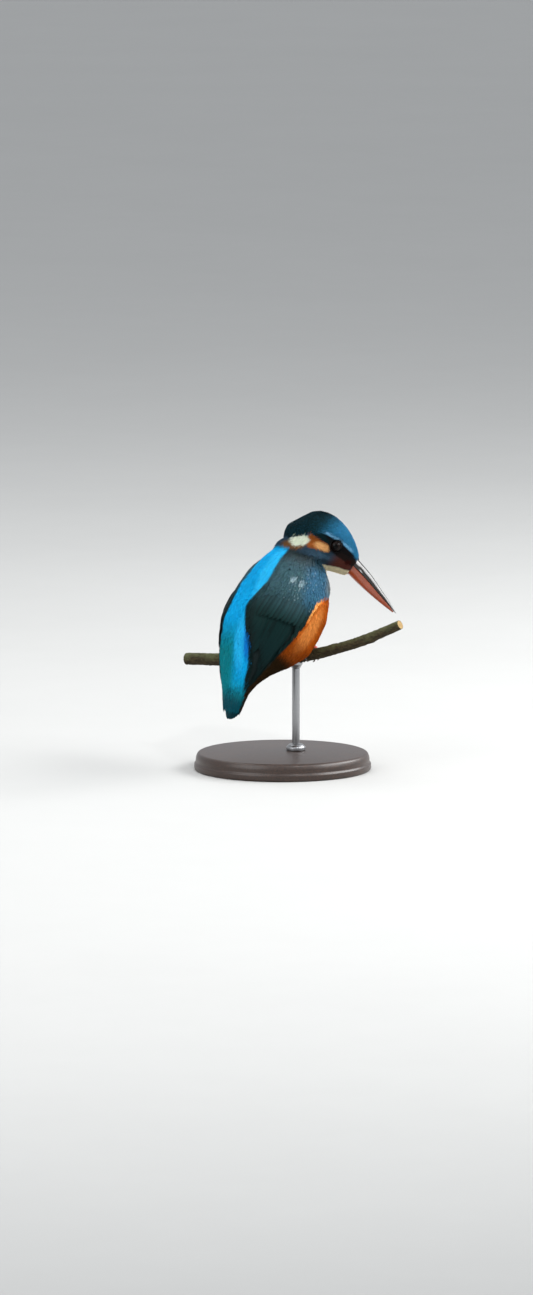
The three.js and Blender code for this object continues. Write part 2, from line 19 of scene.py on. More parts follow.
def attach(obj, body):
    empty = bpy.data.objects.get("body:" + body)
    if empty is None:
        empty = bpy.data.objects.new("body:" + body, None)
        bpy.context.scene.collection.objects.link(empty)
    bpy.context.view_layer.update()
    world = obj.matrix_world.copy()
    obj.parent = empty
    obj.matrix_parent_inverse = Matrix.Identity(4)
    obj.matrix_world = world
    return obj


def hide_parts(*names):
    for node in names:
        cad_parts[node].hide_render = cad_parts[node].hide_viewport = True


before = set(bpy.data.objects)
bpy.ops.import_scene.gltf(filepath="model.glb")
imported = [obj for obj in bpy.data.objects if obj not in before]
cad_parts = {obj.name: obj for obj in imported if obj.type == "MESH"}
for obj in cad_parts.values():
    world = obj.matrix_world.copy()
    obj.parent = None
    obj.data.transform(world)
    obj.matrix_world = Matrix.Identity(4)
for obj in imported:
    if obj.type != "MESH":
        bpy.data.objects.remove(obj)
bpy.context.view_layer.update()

bl_info = {
    "name": "Perched kingfisher",
    "version": (1, 0, 0),
    "blender": (4, 5, 0),
    "location": "View3D > Sidebar > Kingfisher",
    "description": "Makes a life-size common kingfisher on a cut branch and a display stand",
    "category": "Add Mesh",
}

MM = 0.001


def linear(text):
    """A linear colour from six hex digits."""
    shares = [int(text[k : k + 2], 16) / 255 for k in (0, 2, 4)]
    return tuple(s / 12.92 if s <= 0.04045 else ((s + 0.055) / 1.055) ** 2.4 for s in shares)


def paint(name, text, description):
    """A colour setting, from six hex digits."""
    colour = linear(text)
    return FloatVectorProperty(
        name=name, description=description, subtype="COLOR", size=3, min=0, max=1, default=colour
    )


def length_of(name, value, description):
    return FloatProperty(name=name, description=description, default=value, min=0, unit="LENGTH")


def angle_property(name, degrees, description):
    return FloatProperty(
        name=name, description=description, default=math.radians(degrees), unit="ROTATION"
    )


# ---- Sizes and colours that a user would change ----


class PlumageSettings(bpy.types.PropertyGroup):
    """Coat sizes and the colours of the markings, some of which are painted light and shade"""

    body_depth: length_of("Body coat", 0.0012, "How far the skin lies inside the body's outline")
    head_depth: length_of("Head coat", 0.0008, "How far the skin lies inside the head's outline")
    skin_voxel: length_of("Skin detail", 0.0006, "Size of the skin's faces")
    density: FloatProperty(
        name="Density", description="More or fewer feathers", default=1.0, min=0.2, max=2.0
    )
    seed: IntProperty(name="Seed", description="Start of the random draws", default=7, min=0)
    crown: paint("Crown", "09272a", "Ground colour of crown and nape")
    crown_bar: paint("Crown bars", "2a78a4", "Pale bars across the crown feathers")
    brow: paint("Brow line", "6fa4c4", "Light line over the eye")
    ear: paint("Ear coverts", "8c4c1e", "Patch behind the eye")
    ear_pale: paint("Ear coverts, light", "ecb474", "Lighter feathers close behind the eye")
    lore: paint("Lore", "1c1412", "Patch between eye and bill")
    gape: paint("Gape", "57291c", "Feathers beside the corner of the bill")
    mask: paint("Eye line", "0b0a0c", "Dark line through the eye")
    neck_patch: paint("Neck patch", "d2dac4", "White patch on the side of the neck")
    neck_brown: paint("Neck brown", "6b4a2c", "Brown line under the white patch")
    malar: paint("Moustache", "2b404f", "Stripe from the bill to the shoulder")
    throat: paint("Throat", "e4d8b4", "Chin and throat")
    mantle: paint("Mantle", "34525a", "Upper back beside the bright stripe")
    wing: paint("Wing", "05211f", "Coverts and folded wing")
    shoulder: paint("Shoulder", "30607c", "Front edge of the wing")
    breast_side: paint("Breast side", "6c777a", "Grey blue patch in front of the wing")
    spot: paint("Covert spots", "c4dbe2", "Small spots on the tips of the coverts")
    stripe: paint("Back stripe", "02acec", "Bright stripe down the back")
    # The stripe's lightest colour is partly its own light blue and partly a painted highlight on its
    # lit right side.
    stripe_pale_and_lit: paint("Stripe light", "2cc4ff", "Lightest feathers of the stripe")
    # The rump's teal is painted shade, on the left side and towards the tail.
    rump: paint("Rump", "008490", "Sides of the rump")
    belly: paint("Belly", "c85c0a", "Breast and belly")
    # The belly's light colour is a painted highlight, laid in its middle and along the wing's edge.
    belly_lit: paint("Belly light", "f6a858", "Lightest feathers of the belly")
    # The vent's colour is painted shade, nearly black, where the orange belly turns under behind the
    # legs.
    vent_shade: paint("Vent", "131507", "Belly behind the legs")
    flight: paint("Flight feathers", "041a1b", "Long feathers of the folded wing")
    tail: paint("Tail", "054450", "Tail feathers")


class BareSettings(bpy.types.PropertyGroup):
    """Bill, eyes and feet"""

    bill_upper: paint("Upper bill", "17130f", "Upper half of the bill")
    bill_lower: paint("Lower bill", "a04a2c", "Lower half of the bill")
    eye: paint("Eye", "0a0605", "Iris and pupil")
    lid: paint("Lid", "080707", "Bare rim round the eye")
    foot: paint("Foot", "c23f22", "Scaly skin of the feet")
    claw: paint("Claw", "2b1a14", "Claws")


class PerchSettings(bpy.types.PropertyGroup):
    """The cut branch"""

    bark: paint("Bark", "352d1c", "Ground colour of the bark")
    bark_dark: paint("Bark cracks", "241d12", "Cracks and scars in the bark")
    algae: paint("Algae", "55593a", "Green film on the upper side")
    cut: paint("Cut wood", "b99a68", "Fresh wood of the two cut ends")
    ridge: length_of("Bark ridges", 0.0003, "Height of the bark's ridges")


class StandSettings(bpy.types.PropertyGroup):
    """The display stand"""

    wood: paint("Wood", "3a2417", "Ground colour of the base")
    wood_dark: paint("Wood grain", "1d110a", "Dark lines of the grain")
    steel: paint("Steel", "a5a6a8", "Rod, collar and cradle")


class StageSettings(bpy.types.PropertyGroup):
    """Floor, lights and camera"""

    floor: paint("Floor", "bcbcba", "Plain pale floor")
    azimuth: angle_property("Azimuth", -40, "Camera angle round the bird")
    elevation: angle_property("Elevation", 8, "Camera angle above the floor")
    distance: length_of("Distance", 5.0, "From the camera to the branch")
    frame_height: length_of("Frame height", 0.673, "Height of the view at the branch")


# ---- The bird's own frames, as the solids have them ----


def local_frame(x_mm, y_mm, z_mm, yaw=0.0, pitch=0.0):
    """A frame of forward, left and up that is placed from the branch's middle."""
    turn = Matrix.Rotation(math.radians(yaw), 4, "Z") @ Matrix.Rotation(math.radians(-pitch), 4, "Y")
    return PERCH_MIDDLE @ Matrix.Translation(Vector((x_mm, y_mm, z_mm)) * MM) @ turn


PERCH_PLACE = (0.009, 0.0, 0.058)
PERCH_MIDDLE = Matrix.Translation(PERCH_PLACE)
TRUNK = local_frame(2, 0, 52, pitch=58.7)
HEAD = local_frame(20.5, -11, 58.7, yaw=-50, pitch=-40)
TAIL = local_frame(-38.6, 0, -5.5, pitch=78.5)


def inside(place, points):
    """Points in a frame's own millimetres: forward, left, up."""
    m = np.array(place.inverted())
    return (points @ m[:3, :3].T + m[:3, 3]) / MM


def outside(place, local_mm):
    """Points of a frame's own millimetres in metres."""
    m = np.array(place)
    return (np.asarray(local_mm, float) * MM) @ m[:3, :3].T + m[:3, 3]


def heading(place, x, y, z):
    """A direction of a frame's own in the model's."""
    return np.array(place)[:3, :3] @ np.array((x, y, z), float)


# The lower edge of the wing's colour in the trunk's frame, as rows of [distance back from the
# neck, height].
WING_EDGE_MM = np.array([
    (-6, -12), (3, -13.5), (9, -15.6), (13.5, -15.8), (15.5, -12.5), (18, -8.2), (22, -4.8),
    (28, -3.2), (38, -2.0), (49, 0.8), (56, 2.4), (66, 2.8), (80, 3.6),
])
# The bright stripe, as rows of [distance back, middle towards the left, half width].
STRIPE_MM = [
    (-4, 1.4, 5.9), (5, 1.5, 6.9), (14, 1.2, 8.3), (22, 0.7, 8.7), (28, 1.6, 7.8),
    (33, 2.6, 6.8), (38, 3.1, 6.1), (44, 2.6, 7.6), (50, 1.8, 9.4), (58, 0.2, 11.2),
    (66, 0, 11.4), (72, 0, 9.8), (80, 0, 8.8), (90, 0, 9),
]
# The folded wing, as rows of [distance back, lowest angle above the side, the trunk's radius].
WING_BAND = [
    (8, -46, 17), (16, -30, 20), (22, -11, 21.5), (28, -6, 22.5), (38, -2, 22.5), (44, 1, 22.5),
    (50, 4, 21), (56, 6.5, 19.5), (62, 8, 17.5), (70, 9.5, 14), (80, 14, 8.5),
]
# How far up from its lower edge the wing's long feathers cover the skin, by the distance back.
QUILLED_MM = np.array([
    (30, 40), (48, 34), (53, 21), (58, 15), (62, 11.5), (66, 8), (70, 5.5), (76, 2),
])
# Edges of the head's markings in the head's frame, as rows of [distance ahead of the eyes,
# height]: the crown's lower edge, both edges of the ear patch, and the throat's upper edge.
CROWN_EDGE_MM = np.array([
    (-26, -15), (-21.5, -13), (-19, -9.2), (-16, -5.8), (-14.3, -2.2), (-11, 0.4), (-7.6, 1.5),
    (-3, 2.2), (1, 2.6), (5.3, 2.0), (9, 1.6), (13, -0.6),
])
EAR_EDGE_MM = np.array([
    (-15, -7.6), (-10.4, -8.6), (-7, -7.6), (-3, -6.1), (0.4, -4.6), (4, -3.2), (8, -2.6),
])
EAR_TOP_MM = np.array([(-17, -3.4), (-12, -2.8), (-6, -2.2), (-2, -1.6), (2, -1.6)])
THROAT_EDGE_MM = np.array([
    (-18, -27), (-13, -21.0), (-8, -16.6), (-4, -14.2), (2, -11.8), (8, -8.4), (14, -6.4),
])

# The left eye's centre in the head's frame; the right one mirrors it.
EYE_CENTRE_MM = np.array((-0.3, 8.3, -0.4))
EYE_RADIUS_MM = 3.2
EYE_OPENING_MM = 2.7
FLESH = ("trunk", "neck", "head", "wing_right", "wing_left")
SIDES = (("right", -1), ("left", 1))
STATE = {}


def along_rows(rows, places):
    return np.interp(places, rows[:, 0], rows[:, 1])


def smooth_rows(rows, places):
    """A cubic through rows of [place, values...]."""
    rows = np.asarray(rows, float)
    places = np.asarray(places, float)
    x, y = rows[:, 0], rows[:, 1:]
    slope = np.gradient(y, x, axis=0)
    k = np.clip(np.searchsorted(x, places) - 1, 0, len(x) - 2)
    step = (x[k + 1] - x[k])[:, None]
    t = np.clip((places - x[k])[:, None] / step, 0, 1)
    first = (1 + 2 * t) * (1 - t) ** 2 * y[k] + t * (1 - t) ** 2 * step * slope[k]
    return first + t**2 * (3 - 2 * t) * y[k + 1] + t**2 * (t - 1) * step * slope[k + 1]


def soft(value, edge, width):
    """0 below the edge and 1 above it, over a band of the given width."""
    t = np.clip((value - edge) / width + 0.5, 0, 1)
    return t * t * (3 - 2 * t)


def unit(vectors):
    return vectors / np.maximum(np.linalg.norm(vectors, axis=-1, keepdims=True), 1e-12)


# ---- Meshes from arrays ----


def array_mesh(name, points, faces):
    """A smooth mesh whose faces all have as many corners as a row of faces has."""
    mesh = bpy.data.meshes.new(name)
    mesh.vertices.add(len(points))
    mesh.vertices.foreach_set("co", np.asarray(points, np.float32).ravel())
    mesh.loops.add(faces.size)
    mesh.loops.foreach_set("vertex_index", np.asarray(faces, np.int32).ravel())
    mesh.polygons.add(len(faces))
    mesh.polygons.foreach_set("loop_start", np.arange(0, faces.size, faces.shape[1], dtype=np.int32))
    mesh.update(calc_edges=True)
    mesh.polygons.foreach_set("use_smooth", np.full(len(faces), True))
    return mesh


def ring_quads(rings, sides, start=0):
    """Outward quads between rings of points, with a closed cap of quads at each end."""
    k = np.arange(sides)
    after = (k + 1) % sides
    row = np.arange(rings - 1)[:, None] * sides
    walls = np.stack([row + k, row + after, row + sides + after, row + sides + k], -1).reshape(-1, 4)
    i = np.arange(sides // 2 - 1)
    cap = np.stack([i, i + 1, sides - 2 - i, sides - 1 - i], -1)
    caps = [cap[:, ::-1], cap + (rings - 1) * sides]
    return np.concatenate([walls, *caps]) + start


def added(name, data):
    """A new object of the scene."""
    made = bpy.data.objects.new(name, data)
    bpy.context.scene.collection.objects.link(made)
    return made


def piece(name, mesh, material, slot, replaces=()):
    """Links a finished mesh as a piece of the model."""
    made = added(name, mesh)
    if material is not None:
        mesh.materials.clear()
        mesh.materials.append(material)
    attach(made, "root")
    if replaces:
        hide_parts(*replaces)


def joined(name, meshes):
    """One mesh of several, each keeping its own materials."""
    objects = [added(name, mesh) for mesh in meshes]
    with bpy.context.temp_override(
        active_object=objects[0], selected_objects=objects, selected_editable_objects=objects
    ):
        bpy.ops.object.join()
    mesh = objects[0].data
    bpy.data.objects.remove(objects[0])
    mesh.name = name
    return mesh


def evaluated(holder):
    """What an object's modifiers make of it, as a plain mesh. The object goes."""
    graph = bpy.context.evaluated_depsgraph_get()
    made = bpy.data.meshes.new_from_object(holder.evaluated_get(graph))
    bpy.data.objects.remove(holder)
    return made


def facing_out(mesh):
    """Turns the faces of a closed mesh outwards."""
    form = bmesh.new()
    form.from_mesh(mesh)
    bmesh.ops.recalc_face_normals(form, faces=form.faces)
    form.to_mesh(mesh)
    form.free()
    return mesh


def point_values(mesh, name, kind, key, values):
    attribute = mesh.attributes.new(name, kind, "POINT")
    attribute.data.foreach_set(key, np.asarray(values, np.float32).ravel())


def tinted(mesh, tints):
    """Gives each point its own colour, for a material to read."""
    opaque = np.concatenate([tints, np.ones((len(tints), 1))], 1)
    point_values(mesh, "tint", "FLOAT_COLOR", "color", opaque)


def read_rows(items, key, kind, width):
    """One value of every item of a mesh, as an array."""
    values = np.empty(len(items) * width, kind)
    items.foreach_get(key, values)
    return values.reshape(-1, width)


def corner_map(mesh, name, per_point):
    """A UV map from one place for each vertex."""
    corners = read_rows(mesh.loops, "vertex_index", np.int32, 1)[:, 0]
    places = np.asarray(per_point, np.float32)[corners]
    mesh.uv_layers.new(name=name).data.foreach_set("uv", places.ravel())


# ---- Materials ----


class Nodes:
    """Adds and links nodes in one tree."""

    def __init__(self, tree):
        self.tree = tree

    def give(self, socket, value):
        """Links another node's output to a socket, or sets the socket's own value."""
        if isinstance(value, bpy.types.NodeSocket):
            self.tree.links.new(value, socket)
        elif socket.type == "RGBA":
            socket.default_value = (*value[:3], 1.0)
        else:
            socket.default_value = value

    def add(self, kind, _values=None, **settings):
        node = self.tree.nodes.new(kind)
        for name, value in settings.items():
            setattr(node, name, value)
        for socket, value in (_values or {}).items():
            self.give(node.inputs[socket], value)
        return node

    def out(self, kind, _values=None, **settings):
        """Adds a node and gives its first output."""
        return self.add(kind, _values, **settings).outputs[0]

    def math(self, operation, first, second=0.0):
        return self.out("ShaderNodeMath", {0: first, 1: second}, operation=operation)

    def times(self, first, second):
        return self.math("MULTIPLY", first, second)

    def mix(self, factor, first, second, blend="MIX"):
        values = {0: factor, 6: first, 7: second}
        return self.add("ShaderNodeMix", values, data_type="RGBA", blend_type=blend).outputs[2]

    def noise(self, place, scale, **values):
        return self.out("ShaderNodeTexNoise", {"Vector": place, "Scale": scale, **values})

    def ranged(self, value, low=0.0, high=1.0, to_low=0.0, to_high=1.0):
        """Carries a value from one range to another, and holds it inside that."""
        ends = {0: value, 1: low, 2: high, 3: to_low, 4: to_high}
        return self.out("ShaderNodeMapRange", ends)

    def attribute(self, name, output="Color"):
        return self.add("ShaderNodeAttribute", attribute_name=name).outputs[output]


def new_tree(name, kind, inputs, outputs):
    """A new node group: its nodes, what it is given, and where its results go."""
    tree = bpy.data.node_groups.new(name, kind)
    for label, word, default in inputs:
        socket = tree.interface.new_socket(
            name=label, in_out="INPUT", socket_type=f"NodeSocket{word}"
        )
        if default is not None:
            socket.default_value = default
    for label, word in outputs:
        tree.interface.new_socket(name=label, in_out="OUTPUT", socket_type=f"NodeSocket{word}")
    nodes = Nodes(tree)
    return nodes, nodes.add("NodeGroupInput").outputs, nodes.add("NodeGroupOutput").inputs


def shader_group(name, inputs, outputs, build):
    """A shader node group, made once. Inputs are (name, kind, default), outputs (name, kind)."""
    if name not in bpy.data.node_groups:
        nodes, given, result = new_tree(name, "ShaderNodeTree", inputs, outputs)
        for label, socket in build(nodes, given).items():
            nodes.tree.links.new(socket, result[label])
    return bpy.data.node_groups[name]


GREY = (0.5, 0.5, 0.5, 1)


def barbs_group():
    """Fine slanting barbs on either side of a shaft, from a vane's own map."""

    def build(nodes, given):
        split = nodes.add("ShaderNodeSeparateXYZ", {0: given["Vane"]})
        off_shaft = nodes.math("ABSOLUTE", nodes.math("SUBTRACT", split.outputs[0], 0.5))
        slant = nodes.math("SUBTRACT", split.outputs[1], nodes.times(off_shaft, 0.9))
        wobble = nodes.times(nodes.noise(given["Vane"], 6.0, Detail=2.0), 3.0)
        phase = nodes.math("ADD", nodes.times(slant, given["Barbs"]), wobble)
        wave = nodes.math("SINE", phase)
        half = nodes.math("ADD", nodes.times(wave, 0.5), 0.5)
        shaft = nodes.ranged(off_shaft, 0.0, 0.05, 1.0, 0.0)
        lost = nodes.times(nodes.math("SUBTRACT", 1.0, half), given["Depth"])
        shade = nodes.math("SUBTRACT", 1.0, lost)
        tone = nodes.out("ShaderNodeCombineColor", {0: shade, 1: shade, 2: shade})
        colour = nodes.mix(1.0, given["Colour"], tone, "MULTIPLY")
        return {"Colour": colour, "Height": nodes.math("ADD", half, shaft)}

    inputs = [
        ("Vane", "Vector", None), ("Colour", "Color", GREY), ("Barbs", "Float", 60.0),
        ("Depth", "Float", 0.25),
    ]
    return shader_group("Feather barbs", inputs, [("Colour", "Color"), ("Height", "Float")], build)


def mottle_group():
    """Lighter and darker patches over a colour, in two sizes."""

    def build(nodes, given):
        broad = nodes.noise(given["Vector"], given["Scale"], Detail=3.0)
        fine_scale = nodes.times(given["Scale"], 5.3)
        fine = nodes.noise(given["Vector"], fine_scale, Detail=2.0)
        both = nodes.math("ADD", nodes.times(broad, 0.65), nodes.times(fine, 0.35))
        spread = nodes.ranged(both, 0.3, 0.7)
        amount = nodes.times(spread, given["Amount"])
        return {"Colour": nodes.mix(amount, given["Colour"], given["Second"]), "Mask": spread}

    inputs = [
        ("Vector", "Vector", None), ("Colour", "Color", GREY), ("Second", "Color", GREY),
        ("Scale", "Float", 100.0), ("Amount", "Float", 0.5),
    ]
    return shader_group("Mottle", inputs, [("Colour", "Color"), ("Mask", "Float")], build)


def material(name, shader, build):
    """A Principled material, made once. shader holds constants, build links the rest."""
    if name in bpy.data.materials:
        return bpy.data.materials[name]
    made = bpy.data.materials.new(name)
    made.use_nodes = True
    nodes = Nodes(made.node_tree)
    principled = next(n for n in made.node_tree.nodes if n.type == "BSDF_PRINCIPLED")
    for socket, value in shader.items():
        principled.inputs[socket].default_value = value
    for socket, value in build(nodes).items():
        nodes.tree.links.new(value, principled.inputs[socket])
    return made


def bump(nodes, height, strength, distance_mm):
    values = {"Height": height, "Strength": strength, "Distance": distance_mm * MM}
    return nodes.out("ShaderNodeBump", values)


def object_place(nodes, scale=(1, 1, 1)):
    coordinates = nodes.add("ShaderNodeTexCoord").outputs["Object"]
    return nodes.out("ShaderNodeMapping", {"Vector": coordinates, "Scale": scale})


def mottled(nodes, place, colour, second, scale, amount):
    """The outputs of a mottle over a colour."""
    values = {"Vector": place, "Colour": colour, "Second": second, "Scale": scale, "Amount": amount}
    return nodes.add("ShaderNodeGroup", values, node_tree=mottle_group()).outputs


def feather_material(name, roughness, barbs, depth, specular):
    """Feathers take their markings from the tint of each vane."""

    def build(nodes):
        vane = nodes.out("ShaderNodeUVMap", uv_map="Vane")
        values = {"Vane": vane, "Colour": nodes.attribute("tint"), "Barbs": barbs, "Depth": depth}
        out = nodes.add("ShaderNodeGroup", values, node_tree=barbs_group()).outputs
        return {"Base Color": out["Colour"], "Normal": bump(nodes, out["Height"], 0.35, 0.06)}

    return material(name, {"Roughness": roughness, "Specular IOR Level": specular}, build)


def quill_material():
    return feather_material("Flight feathers", 0.5, 210.0, 0.16, 0.07)


def skin_material():
    def build(nodes):
        tint = nodes.attribute("tint")
        darker = nodes.mix(1.0, tint, (0.55, 0.5, 0.5), "MULTIPLY")
        out = mottled(nodes, object_place(nodes), tint, darker, 600.0, 0.8)
        return {"Base Color": out["Colour"], "Normal": bump(nodes, out["Mask"], 0.5, 0.15)}

    return material("Skin under the coat", {"Roughness": 0.75, "Specular IOR Level": 0.2}, build)


def mottled_material(name, colour, second, shader, scale, amount, relief, rough=None):
    """A colour with soft patches of another strength of it. relief is the bump's strength and
    height in mm, rough the roughness of the darkest and lightest patches."""

    def build(nodes):
        out = mottled(nodes, object_place(nodes), colour, shaded(colour, second), scale, amount)
        made = {"Base Color": out["Colour"], "Normal": bump(nodes, out["Mask"], *relief)}
        if rough:
            made["Roughness"] = nodes.ranged(out["Mask"], to_low=rough[0], to_high=rough[1])
        return made

    return material(name, shader, build)


def shaded(colour, share):
    """A colour made darker or lighter."""
    return np.array(colour) * share


# ---- The skin ----


def cad_surface():
    """The triangles of the flesh's solids, and which solid each belongs to."""
    points, triangles, owners = [], [], []
    for owner, name in enumerate(FLESH):
        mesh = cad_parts[name].data
        mesh.calc_loop_triangles()
        start = len(points)
        points.extend(v.co[:] for v in mesh.vertices)
        triangles.extend([start + i for i in t.vertices] for t in mesh.loop_triangles)
        owners.extend([owner] * len(mesh.loop_triangles))
    return BVHTree.FromPolygons(points, triangles), np.array(owners)


def blended(values, edges, shares, weight):
    """Moves each point's values towards its neighbours' mean, by one share after another."""
    n = len(values)
    a, b = edges.T
    count = np.bincount(edges.ravel(), minlength=n)[:, None]
    for share in shares:
        sums = [np.bincount(a, v[b], n) + np.bincount(b, v[a], n) for v in values.T]
        total = np.stack(sums, -1)
        values = values + share * weight[:, None] * (total / count - values)
    return values


def relaxed(points, edges, rounds, weight):
    """Smooths points along their edges without shrinking the form."""
    return blended(points, edges, (0.5, -0.52) * rounds, weight)


def edges_of(triangles):
    sides = np.concatenate([triangles[:, [0, 1]], triangles[:, [1, 2]], triangles[:, [2, 0]]])
    return np.unique(np.sort(sides), axis=0)


def on(tract, *names):
    """True for points that lie on one of the named solids."""
    return np.isin(tract, [FLESH.index(name) for name in names])


def vertex_normals(points, triangles):
    p, q, r = (points[triangles[:, k]] for k in range(3))
    facing = np.cross(q - p, r - p)
    total = np.zeros_like(points)
    for k in range(3):
        for axis in range(3):
            total[:, axis] += np.bincount(triangles[:, k], facing[:, axis], len(points))
    return unit(total)


def largest_part(points, triangles, edges):
    """Keeps the one closed shell that has the most points."""
    label = np.arange(len(points))
    while True:
        low = np.minimum(label[edges[:, 0]], label[edges[:, 1]])
        before = label.copy()
        np.minimum.at(label, edges[:, 0], low)
        np.minimum.at(label, edges[:, 1], low)
        label = label[label]
        if np.array_equal(before, label):
            break
    best = np.bincount(label).argmax()
    keep = label == best
    renumber = np.cumsum(keep) - 1
    return points[keep], renumber[triangles[keep[triangles[:, 0]]]]


class Surface:
    """The skin as arrays: where it is, which way it faces, which way the coat lies on it."""

    def __init__(self, points, triangles, looks):
        self.points, self.triangles = points, triangles
        cad, owners = cad_surface()
        found = [cad.find_nearest(p)[2] for p in points.tolist()]
        # Feathers that run off the rump go on over the tail.
        sleeve_points, sleeve_triangles = rump_sleeve(points)
        self.tract = np.concatenate([owners[np.array(found)], np.zeros(len(sleeve_points), int)])
        every = np.concatenate([points, sleeve_points])
        sleeve_triangles = sleeve_triangles + len(points)
        before_sleeve = inside(TAIL, points[triangles].mean(1))[:, 0] > -RUMP_END_MM - 0.5
        self.laid_on = np.concatenate([triangles[before_sleeve], sleeve_triangles])
        self.normals = vertex_normals(every, np.concatenate([triangles, sleeve_triangles]))
        self.tree = BVHTree.FromPolygons(every.tolist(), self.laid_on.tolist())
        flow = lie_of_coat(every, self.normals, self.tract)
        skin = slice(0, len(points))
        flow[skin] = unit(blended(flow[skin], edges_of(triangles), (0.5,) * 12, np.ones(len(points))))
        self.flow = flow
        self.tint = markings(points, self.tract[: len(points)], looks)

    def nearest(self, points):
        """Place, normal and lie of the surface nearest to each point."""
        found = [self.tree.find_nearest(p) for p in points.tolist()]
        places = np.array([f[0][:] for f in found])
        corners = self.laid_on[np.array([f[2] for f in found])]
        normals, flow = unit(self.normals[corners].mean(1)), unit(self.flow[corners].mean(1))
        return places, normals, flow


# How far behind the tail's root the trunk ends.
RUMP_END_MM = 9.0


def rump_sleeve(points):
    """A tight wrap round the end of the trunk and the tail, as points and triangles."""
    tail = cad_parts["tail"].data
    wrapped = [vertex.co[:] for vertex in tail.vertices]
    wrapped += points[inside(TAIL, points)[:, 0] < -RUMP_END_MM].tolist()
    form = bmesh.new()
    for place in wrapped:
        form.verts.new(place)
    bmesh.ops.remove_doubles(form, verts=form.verts, dist=1e-6)
    bmesh.ops.convex_hull(form, input=form.verts)
    bmesh.ops.delete(form, geom=[v for v in form.verts if not v.link_faces], context="VERTS")
    long_edges = [edge for edge in form.edges if edge.calc_length() > 1.5 * MM]
    bmesh.ops.subdivide_edges(form, edges=long_edges, cuts=4, use_grid_fill=True)
    bmesh.ops.triangulate(form, faces=form.faces)
    bmesh.ops.recalc_face_normals(form, faces=form.faces)
    form.verts.index_update()
    places = np.array([vertex.co[:] for vertex in form.verts])
    triangles = np.array([[vertex.index for vertex in face.verts] for face in form.faces])
    form.free()
    return places, triangles


def lie_of_coat(points, normals, tract):
    """The coat runs from the bill back over the head, and from the neck to the tail."""
    ahead = inside(HEAD, points)[:, 0]
    on_head = on(tract, "head", "neck")
    to_tail = heading(TRUNK, -1, 0, 0)
    to_nape = heading(HEAD, -1, 0, 0)
    share = np.where(on_head, 1 - soft(ahead, -10, 14), 1.0)[:, None]
    wanted = to_nape * (1 - share) + to_tail * share
    on_wing = on(tract, "wing_right", "wing_left")
    wanted = wanted + np.where(on_wing, 0.18, 0.0)[:, None] * heading(TRUNK, 0, 0, 1)
    across = (wanted * normals).sum(-1, keepdims=True)
    return unit(wanted - normals * across)


def coat_depth(points, tract, looks):
    """How far under the outline the skin lies, less towards the bill and the tail."""
    face = soft(inside(HEAD, points)[:, 0], 4, 12)
    thin = soft(-inside(TRUNK, points)[:, 0], 74, 16)
    on_head, on_body = looks.head_depth * (1 - 0.4 * face), looks.body_depth * (1 - 0.6 * thin)
    return np.where(on(tract, "head"), on_head, on_body)


CLOSING = 0.35 * MM


def flesh_form(looks):
    """The solids of the flesh grown by the closing distance and made one closed form."""
    form = bmesh.new()
    for name in FLESH:
        form.from_mesh(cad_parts[name].data)
    bmesh.ops.remove_doubles(form, verts=form.verts, dist=1e-6)
    form.normal_update()
    for vertex in form.verts:
        vertex.co += vertex.normal * CLOSING
    mesh = bpy.data.meshes.new("skin_form")
    form.to_mesh(mesh)
    form.free()
    holder = added("skin_form", mesh)
    remesh = holder.modifiers.new("Remesh", "REMESH")
    remesh.mode = "VOXEL"
    remesh.voxel_size = looks.skin_voxel
    whole = evaluated(holder)
    whole.calc_loop_triangles()
    points = read_rows(whole.vertices, "co", np.float32, 3).astype(float)
    triangles = read_rows(whole.loop_triangles, "vertices", np.int32, 3)
    return largest_part(points, triangles, read_rows(whole.edges, "vertices", np.int32, 2))


def skin_arrays(looks):
    """Points and triangles of the flesh as one smooth closed form, inside the solids' outline."""
    points, triangles = flesh_form(looks)
    edges = edges_of(triangles)
    head = inside(HEAD, points)
    from_eye = np.linalg.norm(np.abs(head) - np.abs(EYE_CENTRE_MM), axis=1)
    calm = 0.35 + 0.65 * soft(from_eye, 5, 4)
    points = relaxed(points, edges, 30, calm)
    # The back of the crown slopes in a little more than the solid does.
    from_nape = np.linalg.norm(head - np.array((-27.0, -2.5, -6.0)), axis=1)
    slope = np.exp(-((from_nape / 8) ** 2))
    points = points - vertex_normals(points, triangles) * (slope * 2.3 * MM)[:, None]
    cad, owners = cad_surface()
    tract = owners[np.array([cad.find_nearest(p)[2] for p in points.tolist()])]
    # The wings' upper edges sink into the back.
    wing = on(tract, "wing_right", "wing_left").astype(float)
    spread = blended(wing[:, None], edges, (0.5,) * 14, np.ones(len(points)))[:, 0]
    seam = np.clip(4 * spread * (1 - spread), 0, 1) * soft(inside(TRUNK, points)[:, 2], 4, 3)
    points = blended(points, edges, (0.5,) * 60, seam)
    depth = coat_depth(points, tract, looks) + CLOSING
    points = points - vertex_normals(points, triangles) * depth[:, None]
    return relaxed(points, edges, 6, calm), triangles


# ---- Markings, with painted light and shade ----


def over(base, colour, mask):
    """Lays a colour on where the mask is 1."""
    return base + (np.asarray(colour, float) - base) * mask[:, None]


def layered(ground, *layers):
    """A ground colour for every point, and each layer's (colour, mask) over it in turn."""
    colours = np.tile(np.array(ground), (len(layers[0][1]), 1))
    for colour, mask in layers:
        colours = over(colours, colour, mask)
    return colours


def oval(x, y, centre, size, turn, softness):
    """1 inside a turned oval; the centre's two values may change from point to point."""
    c, s = math.cos(math.radians(turn)), math.sin(math.radians(turn))
    dx, dy = x - centre[0], y - centre[1]
    reach = np.hypot((c * dx + s * dy) / size[0], (c * dy - s * dx) / size[1])
    return 1 - soft(reach, 1, softness)


